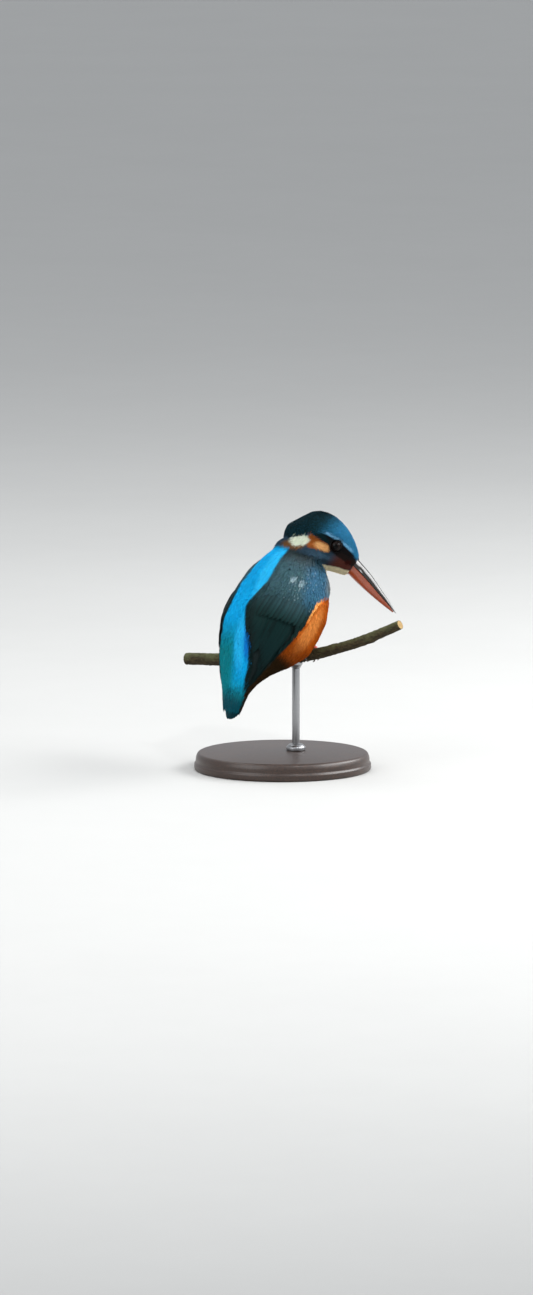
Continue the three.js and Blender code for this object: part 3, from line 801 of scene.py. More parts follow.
def stripe_gap(place):
    """How far outside the bright stripe a point in the trunk's frame lies, in mm."""
    middle, half = smooth_rows(STRIPE_MM, -place[:, 0]).T
    return np.abs(place[:, 1] - middle) - half


def wing_band(back, side):
    """The folded wing's lowest and highest angle round the trunk, and the radius there."""
    low, radius = smooth_rows(WING_BAND, back).T
    middle, half = smooth_rows(STRIPE_MM, back).T
    return np.radians(low), np.arccos(np.clip((half + side * middle) / radius, 0, 0.95)), radius


def wing_angle(place):
    """How high above the side a point in the trunk's frame lies, as an angle round the trunk."""
    return np.arctan2(place[:, 2], np.abs(place[:, 1]))


# Small spots on the coverts, as (distance back, height), and the colour of the painted shadow on the
# upper back behind the nape.
COVERT_SPOTS_MM = ((17.0, 11.6), (16.8, 7.2))
NAPE_SHADOW = (0.035, 0.045, 0.05)


def trunk_markings_and_painted_light(points, looks):
    place = inside(TRUNK, points)
    back, side, up = -place[:, 0], place[:, 1], place[:, 2]
    edge = along_rows(WING_EDGE_MM, back)
    below = layered(
        looks.belly,
        # Painted highlight in the middle of the belly and along the wing's edge.
        (looks.belly_lit, 0.5 * oval(back, up, (36, -9), (15, 5), 12, 0.9)),
        (looks.belly_lit, 0.8 * oval(up, back, (edge, 25), (1.9, 8), 0, 0.5)),
        # Painted shade: the belly darker underneath, towards the rear, and at the front under the
        # neck.
        (shaded(looks.belly, 0.4), 0.7 * soft(-up, 15, 12)),
        (shaded(looks.belly, 0.35), 0.8 * soft(back, 44, 14)),
        (shaded(looks.belly, 0.45), 0.8 * (1 - soft(back, 16, 8))),
        # The vent painted nearly black as shade.
        (looks.vent_shade, soft(back, 54, 8) * 0.95),
    )
    breast_side = (1 - soft(up, -10, 8)) * (1 - soft(back, 13, 8)) * soft(np.abs(side), 9, 9)
    wing = layered(
        looks.wing,
        (looks.mantle, (1 - soft(back, 30, 24)) * soft(up, 2, 10)),
        (looks.shoulder, (1 - soft(back, 25, 15)) * (1 - soft(up, 5, 8)) * 0.9),
        (looks.flight, soft(back, 46, 24) * 0.75),
        (looks.breast_side, breast_side),
        # Painted shadow of the neck: the front of the wing darker, and the upper back behind the nape
        # nearly black.
        (shaded(looks.wing, 0.7), (1 - soft(back, 5, 5)) * soft(up, -6, 5) * 0.8),
        (NAPE_SHADOW, 0.55 * (1 - soft(back, 8, 9)) * soft(up, 3, 8)),
    )
    for spot in COVERT_SPOTS_MM:
        wing = over(wing, looks.spot, 0.32 * oval(back, up, spot, (1.8, 1.2), 10, 0.9))
    # A painted highlight on the right side of the rump, partly the rump's own brilliance; it holds
    # back the teal shade there.
    bright = oval(back, side, (57, -5), (12, 3.2), -6, 0.8)
    # Where the rump's teal lies as painted shade: the left side, and all round towards the tail.
    teal_shade = np.maximum(soft(back, 52, 20) * soft(side, -3, 9), soft(back, 76, 14))
    green_edge = oval(back, side, (55, -9), (9, 2.5), -10, 0.8)
    stripe = layered(
        looks.stripe,
        # Painted highlight on the upper right of the stripe, partly its own light blue.
        (looks.stripe_pale_and_lit, 0.8 * oval(back, side, (16, -4), (20, 3.4), -8, 0.8)),
        (shaded(looks.stripe, (1, 0.45, 0.75)), green_edge),
        # Teal laid over the stripe as painted shade.
        (looks.rump, teal_shade * (1 - 0.8 * bright)),
        (looks.stripe_pale_and_lit, bright * 0.7),
        (looks.tail, soft(back, 80, 10)),
    )
    above_edge = soft(up - edge, 0.2, 0.8)
    above_edge = np.where(back > 78, soft(inside(TAIL, points)[:, 2], 0.9, 1.2), above_edge)
    in_stripe = 1 - soft(stripe_gap(place), 0, 1.2)
    in_stripe = in_stripe * np.where(back > 78, above_edge, soft(up, 3.0, 2.0))
    return over(over(below, wing, above_edge), stripe, in_stripe)


def crown_mask(place):
    """1 on the crown and nape, for points in the head's frame."""
    return soft(place[:, 2], along_rows(CROWN_EDGE_MM, place[:, 0]), 0.8)


def head_markings(points, looks):
    place = inside(HEAD, points)
    ahead, across, up = place[:, 0], np.abs(place[:, 1]), place[:, 2]
    side = soft(across, 4.5, 3)
    breast = soft(-inside(TRUNK, points)[:, 2], 4, 4)
    throat = 1 - soft(up, along_rows(THROAT_EDGE_MM, ahead), 1.0)
    throat = throat * np.maximum(breast, soft(ahead, -6, 6))
    above_ear = soft(up, along_rows(EAR_TOP_MM, ahead), 0.9)
    ear = soft(up, along_rows(EAR_EDGE_MM, ahead), 0.9) * (1 - above_ear)
    ear = ear * soft(ahead, -14.6, 1.2) * (1 - soft(ahead, -1.2, 1.6))
    gape_spot = oval(ahead, up, (9.8, -3.3), (1.7, 1.3), 40, 0.8)
    crown = layered(
        looks.crown,
        (looks.crown_bar, 0.6 * soft(ahead, -9, 12)),
        (shaded(looks.crown, 0.5), soft(-ahead, 14, 10) * 0.7),
    )
    crown_low = along_rows(CROWN_EDGE_MM, ahead)
    brow = soft(up, crown_low + 0.2, 0.6) * (1 - soft(up, crown_low + 1.3, 0.9))
    brow = brow * soft(ahead, -9, 4) * (1 - soft(ahead, 8, 3))
    return layered(
        looks.malar,
        (shaded(looks.malar, 2.2), 0.85 * oval(ahead, up, (-5, -9.3), (7, 1.5), 16, 0.9)),
        (shaded(looks.malar, 0.85), soft(-ahead, 6, 12) * soft(up, -16, 8)),
        (looks.gape, 0.9 * (soft(ahead, 3.0, 6) * (1 - soft(up, -3.0, 1.5)) * side)),
        (looks.throat, throat),
        (shaded(looks.crown, 0.6), above_ear * soft(ahead, -17, 2)),
        (looks.ear, ear),
        (looks.ear_pale, ear * 0.85 * oval(ahead, up, (-5.0, -4.6), (4.2, 1.9), 14, 0.8)),
        (looks.lore, soft(ahead, 1.2, 2.0) * soft(up, -4.0, 1.4)),
        (shaded(looks.gape, (0.3, 0.1, 0.1)), 0.8 * gape_spot * side),
        (looks.mask, oval(ahead, up, (2.2, 1.2), (11.5, 2.0), -3, 0.4) * 0.95),
        (looks.mask, oval(ahead, up, (0.1, -0.5), (3.9, 3.5), 0, 0.3) * 0.95),
        (looks.neck_brown, oval(ahead, up, (-17.4, -13.0), (6.4, 2.2), 40, 0.5) * side),
        (looks.neck_patch, oval(ahead, up, (-16.6, -9.4), (5.2, 2.6), 38, 0.3) * side),
        (crown, crown_mask(place)),
        (looks.brow, brow * side * 0.75),
    )


def markings(points, tract, looks):
    """The colour of the bird at each point, from where it is on the head or the trunk; on the trunk
    it holds painted highlights and painted shade.
    """
    trunk, head = inside(TRUNK, points), inside(HEAD, points)
    on_head = np.where(on(tract, "head"), 1.0, 0.0)
    on_neck = np.where(on(tract, "neck"), 1 - soft(-trunk[:, 0], 0.5, 2.5), 0.0)
    under_chin = (1 - soft(np.abs(head[:, 1]), 9, 3)) * soft(head[:, 2], -20.5, 1.5)
    under_chin = under_chin * soft(head[:, 0], -8, 6) * np.where(trunk[:, 2] < -4, 1.0, 0.0)
    of_head = np.maximum(on_head, np.maximum(on_neck, under_chin))
    return over(trunk_markings_and_painted_light(points, looks), head_markings(points, looks), of_head)


# ---- Vanes ----

# A vane's cross section as (across, height), counter-clockwise as seen from its tip.
SMALL_SECTION = np.array([(1, 0), (0, 1), (-1, 0), (0, -0.3)])
BROAD_SECTION = np.array(
    [(1, 0), (0.5, 0.72), (0, 1), (-0.5, 0.72), (-1, 0), (-0.5, 0.42), (0, 0.6), (0.5, 0.42)]
)
# Outlines as (share of the length, share of the width).
SOFT_VANE = np.array([(0, 0.3), (0.25, 0.85), (0.5, 1.0), (0.72, 0.85), (0.9, 0.5), (1, 0.06)])
HAIR_VANE = np.array([(0, 0.5), (0.35, 1.0), (0.7, 0.75), (0.9, 0.4), (1, 0.05)])
HAIR = (HAIR_VANE, SMALL_SECTION)
# A single loose barb, as its outline and its section.
BARB = (np.array([(0, 0.5), (0.55, 1.0), (1, 0.1)]), np.array([(1, 0), (0, 1), (-1, 0)]))


class Vanes:
    """Collects vanes for one piece and makes a single mesh of them."""

    def __init__(self):
        self.points, self.faces, self.tints, self.vane_map, self.bake_map = [], [], [], [], []
        self.lay = []
        self.count = 0

    def add(self, paths, normals, half_width, widths, section, bow, tints, roots):
        """Paths and normals are (vanes, stations, 3), in metres; roots are places on the bake map."""
        vanes, stations = paths.shape[:2]
        along = unit(np.gradient(paths, axis=1))
        side = unit(np.cross(normals, along))
        over_vane = np.cross(along, side)
        half = (half_width[:, None] * widths)[..., None]
        sides = len(section)
        across, above = side * half, over_vane * half * bow
        rings = np.stack([paths + across * x + above * z for x, z in section], axis=2)
        self.points.append(rings.reshape(-1, 3))
        starts = self.count + np.arange(vanes)[:, None, None] * stations * sides
        self.faces.append((ring_quads(stations, sides)[None] + starts).reshape(-1, 4))
        self.count += vanes * stations * sides
        shape = (vanes, stations, sides)
        upper = np.where(section[:, 1] >= 0, 0.6 + 0.25 * np.clip(section[:, 1], 0, 1), 0.0)
        self.lay.append((normals[:, :, None, :] * upper[:, None]).reshape(-1, 3))
        tints = tints[:, :, None, :] if tints.ndim == 3 else tints
        self.tints.append(np.broadcast_to(tints, (*shape, 3)).reshape(-1, 3))
        share = np.broadcast_to(np.linspace(0, 1, stations)[None, :, None], shape)
        across = np.broadcast_to(section[:, 0][None, None, :] * 0.5 + 0.5, shape)
        self.vane_map.append(np.stack([across, share], -1).reshape(-1, 2))
        if roots.ndim == 2:
            spread = (np.stack([across, share], -1) - 0.5) * BAKE_PATCH
            self.bake_map.append((roots[:, None, None, :] + spread).reshape(-1, 2))
        else:
            self.bake_map.append(roots.reshape(-1, 2))

    def mesh(self, name):
        mesh = array_mesh(name, np.concatenate(self.points), np.concatenate(self.faces))
        # Shading leans towards the lie of the skin, so that the coat looks soft.
        own = read_rows(mesh.vertex_normals, "vector", np.float32, 3)
        lay = np.concatenate(self.lay)
        share = np.linalg.norm(lay, axis=1, keepdims=True)
        mesh.normals_split_custom_set_from_vertices(unit(own * (1 - share) + lay).tolist())
        tinted(mesh, np.concatenate(self.tints))
        corner_map(mesh, "OFBake", np.concatenate(self.bake_map))
        corner_map(mesh, "Vane", np.concatenate(self.vane_map))
        return mesh


# Room of one small feather on the bake map.
BAKE_PATCH = 0.003


def unwrapped(place, points, normals):
    """Each point's place on an unwrap of the skin: six charts, by the way the skin faces."""
    local = inside(place, points)
    facing = normals @ np.array(place)[:3, :3]
    axis = np.abs(facing).argmax(1)
    chart = axis * 2 + (facing[np.arange(len(points)), axis] > 0)
    spots = np.zeros((len(points), 2))
    for k in range(6):
        chosen = chart == k
        if not chosen.any():
            continue
        flat = np.delete(local[chosen], k // 2, axis=1)
        low, high = flat.min(0), flat.max(0)
        cell = np.array(((k % 3) / 3, (k // 3) / 2))
        room = np.array((1 / 3, 1 / 2))
        spots[chosen] = cell + room * (0.03 + 0.94 * (flat - low) / np.maximum(high - low, 1e-6))
    return spots


def scattered(surface, spacing_mm, rng):
    """Random roots on the skin, none closer to another than the spacing at its place."""
    corners = surface.points[surface.triangles]
    first, second = corners[:, 1] - corners[:, 0], corners[:, 2] - corners[:, 0]
    areas = np.linalg.norm(np.cross(first, second), axis=1) / 2
    spacing = spacing_mm[surface.triangles].mean(1) * MM
    covered = np.isfinite(spacing)
    wanted = np.where(covered, areas / np.where(covered, spacing, 1) ** 2, 0.0)
    count = int(wanted.sum() * 4)
    picked = rng.choice(len(areas), count, p=wanted / wanted.sum())
    a, b = rng.random((2, count))
    flip = a + b > 1
    a, b = np.where(flip, 1 - a, a), np.where(flip, 1 - b, b)
    c = corners[picked]
    places = c[:, 0] + a[:, None] * (c[:, 1] - c[:, 0]) + b[:, None] * (c[:, 2] - c[:, 0])
    tree = KDTree(count)
    for k, place in enumerate(places.tolist()):
        tree.insert(place, k)
    tree.balance()
    free = np.ones(count, bool)
    kept = []
    radii = spacing[picked]
    for k, place in enumerate(places.tolist()):
        if free[k]:
            kept.append(k)
            for _, other, _ in tree.find_range(place, radii[k]):
                free[other] = False
    kept = np.array(kept)
    return places[kept], surface.triangles[picked[kept], 0]


def laid(surface, roots, normal, flow, lengths, shares, heights):
    """Paths that start at the roots and follow the lie of the coat over the skin."""
    paths, normals = [], []
    place, before = roots, 0.0
    for share, height in zip(shares, heights.T):
        if share > 0:
            step = (lengths * (share - before))[:, None]
            place, normal, wanted = surface.nearest(place + flow * step)
            flow = unit(wanted - normal * (wanted * normal).sum(-1, keepdims=True))
        paths.append(place + normal * height[:, None])
        normals.append(normal)
        before = share
    return np.stack(paths, 1), np.stack(normals, 1)


# ---- The coat over the skin ----


def bill_mask(place):
    """1 where a point in the head's frame lies inside the bill, with a small margin."""
    ridge, edge, keel, half = smooth_rows(BILL_ROWS, place[:, 0]).T
    up = (place[:, 2] - (ridge + keel) / 2) / ((ridge - keel) / 2 + 0.15)
    reach = np.hypot(place[:, 1] / (half + 0.15), up)
    return (reach < 1) & (place[:, 0] > BILL_START_MM)


def near_eye(place):
    """Distance from the middle of the eye's opening, in the side view."""
    return np.hypot(place[:, 0] - EYE_CENTRE_MM[0], place[:, 2] - EYE_CENTRE_MM[2])


def coat_styles(surface, looks, styles):
    """Spacing, length and half width of the feathers at each point of the skin, in mm."""
    head, trunk = inside(HEAD, surface.points), inside(TRUNK, surface.points)
    back, up = -trunk[:, 0], trunk[:, 2]
    kind = np.full(len(surface.points), KINDS.index("belly"))
    edge = along_rows(WING_EDGE_MM, back)
    above = up > edge + 0.3
    gap = stripe_gap(trunk)
    tract = surface.tract[: len(surface.points)]
    on_head = on(tract, "head")
    for word, where in (
        ("coverts", above & ((up > edge + 1.2) | (back < 40))),
        ("mantle", above & (gap < 10)),
        ("stripe", above & (gap < 2.2)),
        ("neck", on(tract, "neck")),
        ("cheek", on_head),
        ("crown", on_head & (crown_mask(head) > 0.5)),
    ):
        kind[where] = KINDS.index(word)
    sizes = np.array([styles[k][:3] for k in KINDS])[kind]
    face = soft(head[:, 0], 3, 16) * on_head
    eye_ring = np.where(on_head, 1 - soft(near_eye(head), 5.0, 3.0), 0.0)
    smaller = 1 - 0.45 * np.maximum(face, eye_ring)
    sizes = sizes * smaller[:, None]
    sizes[:, 1] *= 1 - 0.4 * eye_ring
    longer = 1 + 0.7 * soft(back, 74, 14)
    sizes[:, 1] *= np.where(on_head, 1.0, longer)
    sizes[:, 0] /= math.sqrt(looks.density)
    bare = on_head & (near_eye(head) < EYE_OPENING_MM + 0.05) & (np.abs(head[:, 1]) > 6)
    bare |= on_head & bill_mask(head)
    on_end = inside(TAIL, surface.points)[:, 0] < -RUMP_END_MM
    bare |= on_end & (surface.normals[: len(surface.points)] @ heading(TAIL, -1, 0, 0) > 0.45)
    sizes[bare, 0] = np.inf
    low, _, radius = wing_band(back, np.sign(trunk[:, 1]))
    place = (wing_angle(trunk) - low) * radius
    quilled = (place > 1.2) & (place < along_rows(QUILLED_MM, back))
    quilled &= (gap > 1.5) & (back > np.where(gap < 9, 47, 31)) & (back < 76)
    sizes[quilled, 0] = np.inf
    return kind, sizes


# For each kind: spacing, length, half width in mm, bow of the vane, lift of the tip, how much
# lighter or darker single feathers are, height of the root in coat depths, outline and section.
COAT = {
    "cheek": (0.6, 2.4, 0.36, 0.26, 0.1, 0.06, -0.3, *HAIR),
    "crown": (0.68, 2.4, 0.5, 0.2, 0.1, 0.08, 0.0, SOFT_VANE, SMALL_SECTION),
    "neck": (0.7, 3.6, 0.48, 0.24, 0.1, 0.06, -0.3, *HAIR),
    "belly": (0.76, 5.6, 0.52, 0.24, 0.1, 0.06, -0.3, *HAIR),
    "stripe": (0.8, 5.0, 0.58, 0.2, 0.08, 0.05, -0.3, *HAIR),
    "mantle": (0.92, 5.6, 0.8, 0.12, 0.06, 0.05, 0.3, SOFT_VANE, BROAD_SECTION),
    "coverts": (0.96, 5.2, 0.84, 0.12, 0.06, 0.05, 0.3, SOFT_VANE, BROAD_SECTION),
}
BARBS = {
    "cheek": (0.4, 1.7, 0.11, 0.6, 0.2, 0.1, 0.55, *BARB),
    "crown": (0.62, 1.4, 0.1, 0.6, 0.15, 0.08, 0.6, *BARB),
    "neck": (0.42, 2.4, 0.12, 0.6, 0.2, 0.1, 0.55, *BARB),
    "belly": (0.46, 3.4, 0.14, 0.6, 0.2, 0.1, 0.55, *BARB),
    "stripe": (0.44, 3.2, 0.13, 0.6, 0.15, 0.08, 0.55, *BARB),
    "mantle": (0.56, 2.6, 0.12, 0.6, 0.12, 0.07, 0.6, *BARB),
    "coverts": (0.48, 2.4, 0.12, 0.6, 0.12, 0.07, 0.6, *BARB),
}
KINDS = tuple(COAT)
# Each piece: its kinds of feather, the sizes they have, and its finish.
PIECES = {
    "coat_crown": (("crown",), COAT, "plumage_crown"),
    "coat_face": (("cheek",), COAT, "plumage_crown"),
    "coat_neck": (("neck",), COAT, "plumage_crown"),
    "coat_belly": (("belly",), COAT, "plumage_belly"),
    "coat_back": (("stripe", "mantle"), COAT, "plumage_back"),
    "coat_wings": (("coverts",), COAT, "plumage_wing"),
    "barbs_head": (("cheek", "crown", "neck"), BARBS, "plumage_crown"),
    "barbs_belly": (("belly",), BARBS, "plumage_belly"),
    "barbs_back": (("stripe", "mantle"), BARBS, "plumage_back"),
    "barbs_wings": (("coverts",), BARBS, "plumage_wing"),
}


def feather_tints(kind, spread, spots, tract, shares, looks, rng):
    """Tints along each vane: painted shade at the root, the marking's colour beyond it, and the tip's
    own.
    """
    count = len(spots)
    wander = rng.normal(0, 0.22 * MM, (count, 3))
    colour = markings(spots + wander, tract, looks)
    tone = np.exp(rng.normal(0, spread, (count, 1)))
    warmth = 1 + rng.normal(0, 0.03, (count, 3))
    if len(shares) < 4:
        return np.clip(np.repeat((colour * tone * warmth)[:, None, :], len(shares), axis=1), 0, 1)
    # Painted shade darkens each vane towards its root, where its neighbours lie over it; the tip is a
    # little lighter.
    root_shade_and_tip_tone = np.interp(shares, (0, 0.35, 0.7, 1), (0.7, 0.88, 1.0, 1.05))
    tints = (colour * tone * warmth)[:, None, :] * root_shade_and_tip_tone[None, :, None]
    if kind == "crown":
        bar = soft(shares, 0.78, 0.16)[None, :, None] * (0.75 + 0.25 * rng.random((count, 1, 1)))
        strength = 0.12 + 0.5 * soft(inside(HEAD, spots)[:, 0], -8, 16)
        tints = tints + (np.array(looks.crown_bar) - tints) * bar * strength[:, None, None]
    if kind == "coverts":
        place = inside(TRUNK, spots)
        back, up = -place[:, 0], place[:, 2]
        spotted = (rng.random(count) < 0.14) & (back < 34) & (up > -6)
        tip = soft(shares, 0.88, 0.1)[None, :, None] * np.where(spotted, 0.16, 0.0)[:, None, None]
        tints = tints + (np.array(looks.spot) - tints) * tip
    return np.clip(tints, 0, 1)


def body_coat(surface, looks):
    rng = np.random.default_rng(looks.seed)
    vanes = {}
    for styles in (COAT, BARBS):
        kind, sizes = coat_styles(surface, looks, styles)
        roots, at = scattered(surface, sizes[:, 0], rng)
        for name, (kinds, wanted, _) in PIECES.items():
            if wanted is not styles:
                continue
            vanes[name] = Vanes()
            for word in kinds:
                chosen = kind[at] == KINDS.index(word)
                where = roots[chosen], at[chosen]
                feathers(vanes[name], surface, looks, word, styles[word], *where, sizes, rng)
    return vanes


def feathers(vanes, surface, looks, word, style, spots, index, sizes, rng):
    """Lays feathers of one kind, from their roots on the skin."""
    _, _, _, bow, lift, spread, low, outline, section = style
    count = len(spots)
    shares = outline[:, 0]
    lengths = sizes[index, 1] * MM * np.exp(rng.normal(0, 0.1, count))
    room = 20 + inside(TAIL, spots)[:, 0] + rng.normal(0, 0.8, count)
    lengths = np.minimum(lengths, np.maximum(room, 2.5) * MM)
    half = sizes[index, 2] * MM * np.exp(rng.normal(0, 0.1, count))
    depth = coat_depth(spots, surface.tract[index], looks) * (1 + lift * rng.random(count))
    heights = depth[:, None] * (low + (1 - low) * shares[None, :] ** 0.85)
    flow = surface.flow[index]
    normal = surface.normals[index]
    sway = rng.normal(0, 0.1, (count, 1))
    flow = unit(flow + np.cross(normal, flow) * sway)
    paths, normals = laid(surface, spots, normal, flow, lengths, shares, heights)
    roll = rng.normal(0, 0.08, (count, 1, 1))
    along = unit(np.gradient(paths, axis=1))
    normals = unit(normals + np.cross(along, normals) * roll)
    middles = paths[:, len(shares) // 2]
    tints = feather_tints(word, spread, middles, surface.tract[index], shares, looks, rng)
    spot_map = unwrapped(HEAD if word in ("crown", "cheek") else TRUNK, spots, surface.normals[index])
    keep = ~in_the_way(paths)
    kept = paths[keep], normals[keep], half[keep]
    vanes.add(*kept, outline[:, 1], section, bow, tints[keep], spot_map[keep])


def in_the_way(paths):
    """True for vanes that would run into the branch, an eye or the bill."""
    flat = paths.reshape(-1, 3)
    bird = inside(PERCH_MIDDLE, flat)
    along = bird @ PERCH_ALONG
    height, share = smooth_rows(PERCH_ROWS, along).T
    centre = along[:, None] * PERCH_ALONG + height[:, None] * np.array((0, 0, 1.0))
    hit = np.linalg.norm(bird - centre, axis=1) < PERCH_RADIUS_MM * share + 0.25
    head = inside(HEAD, flat)
    eye = np.abs(head) * np.array((0, 1, 0)) + head * np.array((1, 0, 1))
    by_eye = np.linalg.norm(eye - EYE_CENTRE_MM, axis=1) < EYE_RADIUS_MM + 1
    hit |= by_eye & (near_eye(head) < EYE_OPENING_MM) & (eye[:, 1] > 9)
    hit |= bill_mask(head) & (head[:, 0] > 13)
    return hit.reshape(paths.shape[:2]).any(1)


# ---- Flight feathers and tail ----


def wing_path(surface, side, back, offset):
    """Places and normals on a folded wing's skin, by distances back and up from its lower edge."""
    low, high, radius = wing_band(back, side)
    _, right_high, _ = wing_band(back, -1)
    angle = low + offset / radius * (high - low) / (right_high - low)
    out = np.stack([np.zeros_like(angle), side * np.cos(angle), np.sin(angle)], -1)
    axis = np.stack([-back, 0 * back, 0 * back], -1)
    turned = out @ np.array(TRUNK)[:3, :3].T
    places = outside(TRUNK, axis + out * radius[:, None])
    for k, (start, way) in enumerate(zip(outside(TRUNK, axis + out * 45).tolist(), turned)):
        hit = surface.tree.ray_cast(start, (-way).tolist())[0]
        if hit is not None:
            places[k] = hit[:]
    for _ in range(4):
        places[1:-1] = (places[:-2] + 2 * places[1:-1] + places[2:]) / 4
    _, normals, _ = surface.nearest(places)
    for _ in range(2):
        normals[1:-1] = unit(normals[:-2] + 2 * normals[1:-1] + normals[2:])
    return places, normals


def primary_offset(back, k):
    return np.interp(back, (50, 78), (2.3, 0.9)) + k * np.interp(back, (30, 78), (1.7, 0.35))


def secondary_offset(back, k):
    return primary_offset(back, 2) + k * np.interp(back, (30, 66), (2.1, 0.95))


def tertial_offset(back, k):
    return secondary_offset(back, 6.5) + (k + 0.5) * np.interp(back, (30, 60), (2.6, 1.4))


# Groups of long feathers: how many, first and last distance back with the step between feathers,
# where they run, half width, height over the skin with its step, and share of the dark tone.
WING_QUILLS = (
    (6, (28, 1.2), (78, -2.4), primary_offset, 2.2, (0.1, 0.07), 0.8),
    (7, (31, 0.5), (66, -1.7), secondary_offset, 2.3, (0.55, 0.06), 0.45),
    (4, (32, -0.6), (60, -4.0), tertial_offset, 2.9, (1.0, 0.1), 0.2),
    (5, (18, 1.0), (42.5, -1.3), lambda back, k: 1.5 + 0.95 * k, 1.15, (0.95, 0.06), 0.3),
    (11, (24, 0.35), (39, 0.35), lambda back, k: 3.4 + 1.95 * k, 1.75, (1.25, 0.03), 0.1),
)


# A long feather's outline and section.
QUILL = np.array([
    (0, 0.45), (0.08, 0.7), (0.2, 0.9), (0.35, 1), (0.5, 1), (0.65, 1), (0.78, 0.95), (0.88, 0.8),
    (0.95, 0.55), (0.985, 0.3), (1, 0.1),
])
QUILL_SECTION = np.array([
    (1, 0), (0.66, 0.5), (0.33, 0.8), (0.05, 0.95), (0, 1.12), (-0.05, 0.95), (-0.33, 0.8),
    (-0.66, 0.5), (-1, 0), (-0.6, 0.15), (-0.05, 0.45), (0, 0.45), (0.05, 0.45), (0.6, 0.15),
])


def strip_map(index, count, stations, sides):
    """A long feather's own strip on the bake map, its upper face beside its lower one."""
    share = np.linspace(0.01, 0.99, stations)[:, None]
    upper = sides // 2 + 1
    lower = np.linspace(0.5, 1.0, sides - upper + 2)[1:-1]
    across = np.concatenate([np.linspace(0.0, 0.5, upper), lower])[None, :]
    u = (index + 0.04 + 0.92 * across) / count + share * 0
    return np.stack([u, share + across * 0], -1)


def one_quill(vanes, path, normals, half_width, bow, tint, edge_tint, strip):
    """A long feather with its outer web tinted apart from the inner one."""
    sides = len(QUILL_SECTION)
    outer = soft(-QUILL_SECTION[:, 0], 0.1, 0.5)[None, :, None]
    tints = tint[:, None, :] * (1 - outer) + edge_tint[:, None, :] * outer
    # Painted shade darkens the root, which lies under other feathers; the tip is a little darker too.
    root_shade_and_tip_tone = np.interp(QUILL[:, 0], (0, 0.3, 0.85, 1), (0.7, 0.95, 1.0, 0.85))
    vanes.add(
        path[None], normals[None], np.array([half_width]), QUILL[:, 1], QUILL_SECTION, bow,
        (tints * root_shade_and_tip_tone[:, None, None])[None], strip_map(*strip, len(QUILL), sides)[None],
    )


def flight_feathers(surface, looks, side, rng):
    """The folded wing: primaries, secondaries, tertials, and the coverts over their roots."""
    vanes = Vanes()
    total = sum(group[0] for group in WING_QUILLS)
    shares = QUILL[:, 0]
    tract = np.full(len(shares), FLESH.index("trunk"))
    made = 0
    for count, first, last, offset, half_mm, height, dark in WING_QUILLS:
        for k in range(count):
            start, end = first[0] + first[1] * k, last[0] + last[1] * k
            back = start + (end - start) * shares
            places, normals = wing_path(surface, side, back, offset(back, k))
            rise = height[0] + height[1] * k + np.interp(shares, (0, 0.25, 1), (-0.9, -0.1, 0.3))
            tint = markings(places, tract, looks) * (1 - dark) + shaded(looks.flight, dark)
            tint = tint * math.exp(rng.normal(0, 0.07))
            webs = (tint * 0.8, tint * 1.25) if side > 0 else (tint * 1.25, tint * 0.8)
            path = places + normals * rise[:, None] * MM
            one_quill(vanes, path, normals, half_mm * MM, 0.16, *webs, (made, total))
            made += 1
    return vanes


def tail_feathers(looks, rng):
    vanes = Vanes()
    pairs = 6
    for k in reversed(range(pairs)):
        for n, side in enumerate((-1, 1)):
            shares = QUILL[:, 0]
            length = 25.3 - 0.12 * k * k
            across = side * (0.55 + np.interp(shares, (0, 1), (0.45, 0.86)) * k)
            down = -1.5 + length * shares
            crown = 1.9 * (1 - (across / 7.6) ** 2)
            up = crown + 0.75 - 0.2 * k + (0.08 if n else 0) - 0.5 * shares**2
            path = outside(TAIL, np.stack([-down, across, up], -1))
            slope = 0.42 * across / 7.6
            normals = np.stack([0 * slope, slope, 0 * slope + 1], -1) @ np.array(TAIL)[:3, :3].T
            tone = math.exp(rng.normal(0, 0.05))
            darker = np.interp(shares, (0.3, 1), (1.0, 0.45))[:, None]
            tint = shaded(looks.tail, tone) * darker
            inner = 0.5 * tint + shaded(looks.flight, 0.5) * tone
            webs = (inner, tint) if side > 0 else (tint, inner)
            if k == 0:
                webs = (tint, tint)
            one_quill(vanes, path, unit(normals), 2.05 * MM, 0.14, *webs, (2 * k + n, 2 * pairs))
    return vanes


# ---- Turned, drawn and lofted forms ----


def loft_mesh(name, rings):
    """A closed form through rings that run counter-clockwise as seen from its end."""
    rings = np.asarray(rings, float)
    return array_mesh(name, rings.reshape(-1, 3), ring_quads(*rings.shape[:2]))


def angles(count):
    """Even steps round a full turn."""
    return np.linspace(0, 2 * math.pi, count, endpoint=False)


def flat_circle(sides):
    return np.stack([np.cos(angles(sides)), np.sin(angles(sides)), np.zeros(sides)], -1)


def eased(count):
    """Shares from 0 to 1 that lie closer together towards both ends."""
    return (1 - np.cos(np.pi * np.linspace(0, 1, count))) / 2


def turned_mesh(name, profile_mm, centre, sides=96):
    """A form turned about the vertical through centre, from rows of [radius, height]."""
    circle = flat_circle(sides)
    rings = [circle * r * MM + np.array((centre[0], centre[1], z * MM)) for r, z in profile_mm]
    return loft_mesh(name, rings)


def rounded(profile, radii, steps=5):
    """Rounds the corners of a profile. Each corner has its own radius."""
    made = []
    for k, (point, radius) in enumerate(zip(profile, radii)):
        point = Vector(point)
        if radius == 0 or k in (0, len(profile) - 1):
            made.append(tuple(point))
            continue
        before, after = Vector(profile[k - 1]), Vector(profile[k + 1])
        start = point + (before - point).normalized() * radius
        end = point + (after - point).normalized() * radius
        for t in np.linspace(0, 1, steps):
            made.append(tuple(start.lerp(point, t).lerp(point.lerp(end, t), t)))
    return made


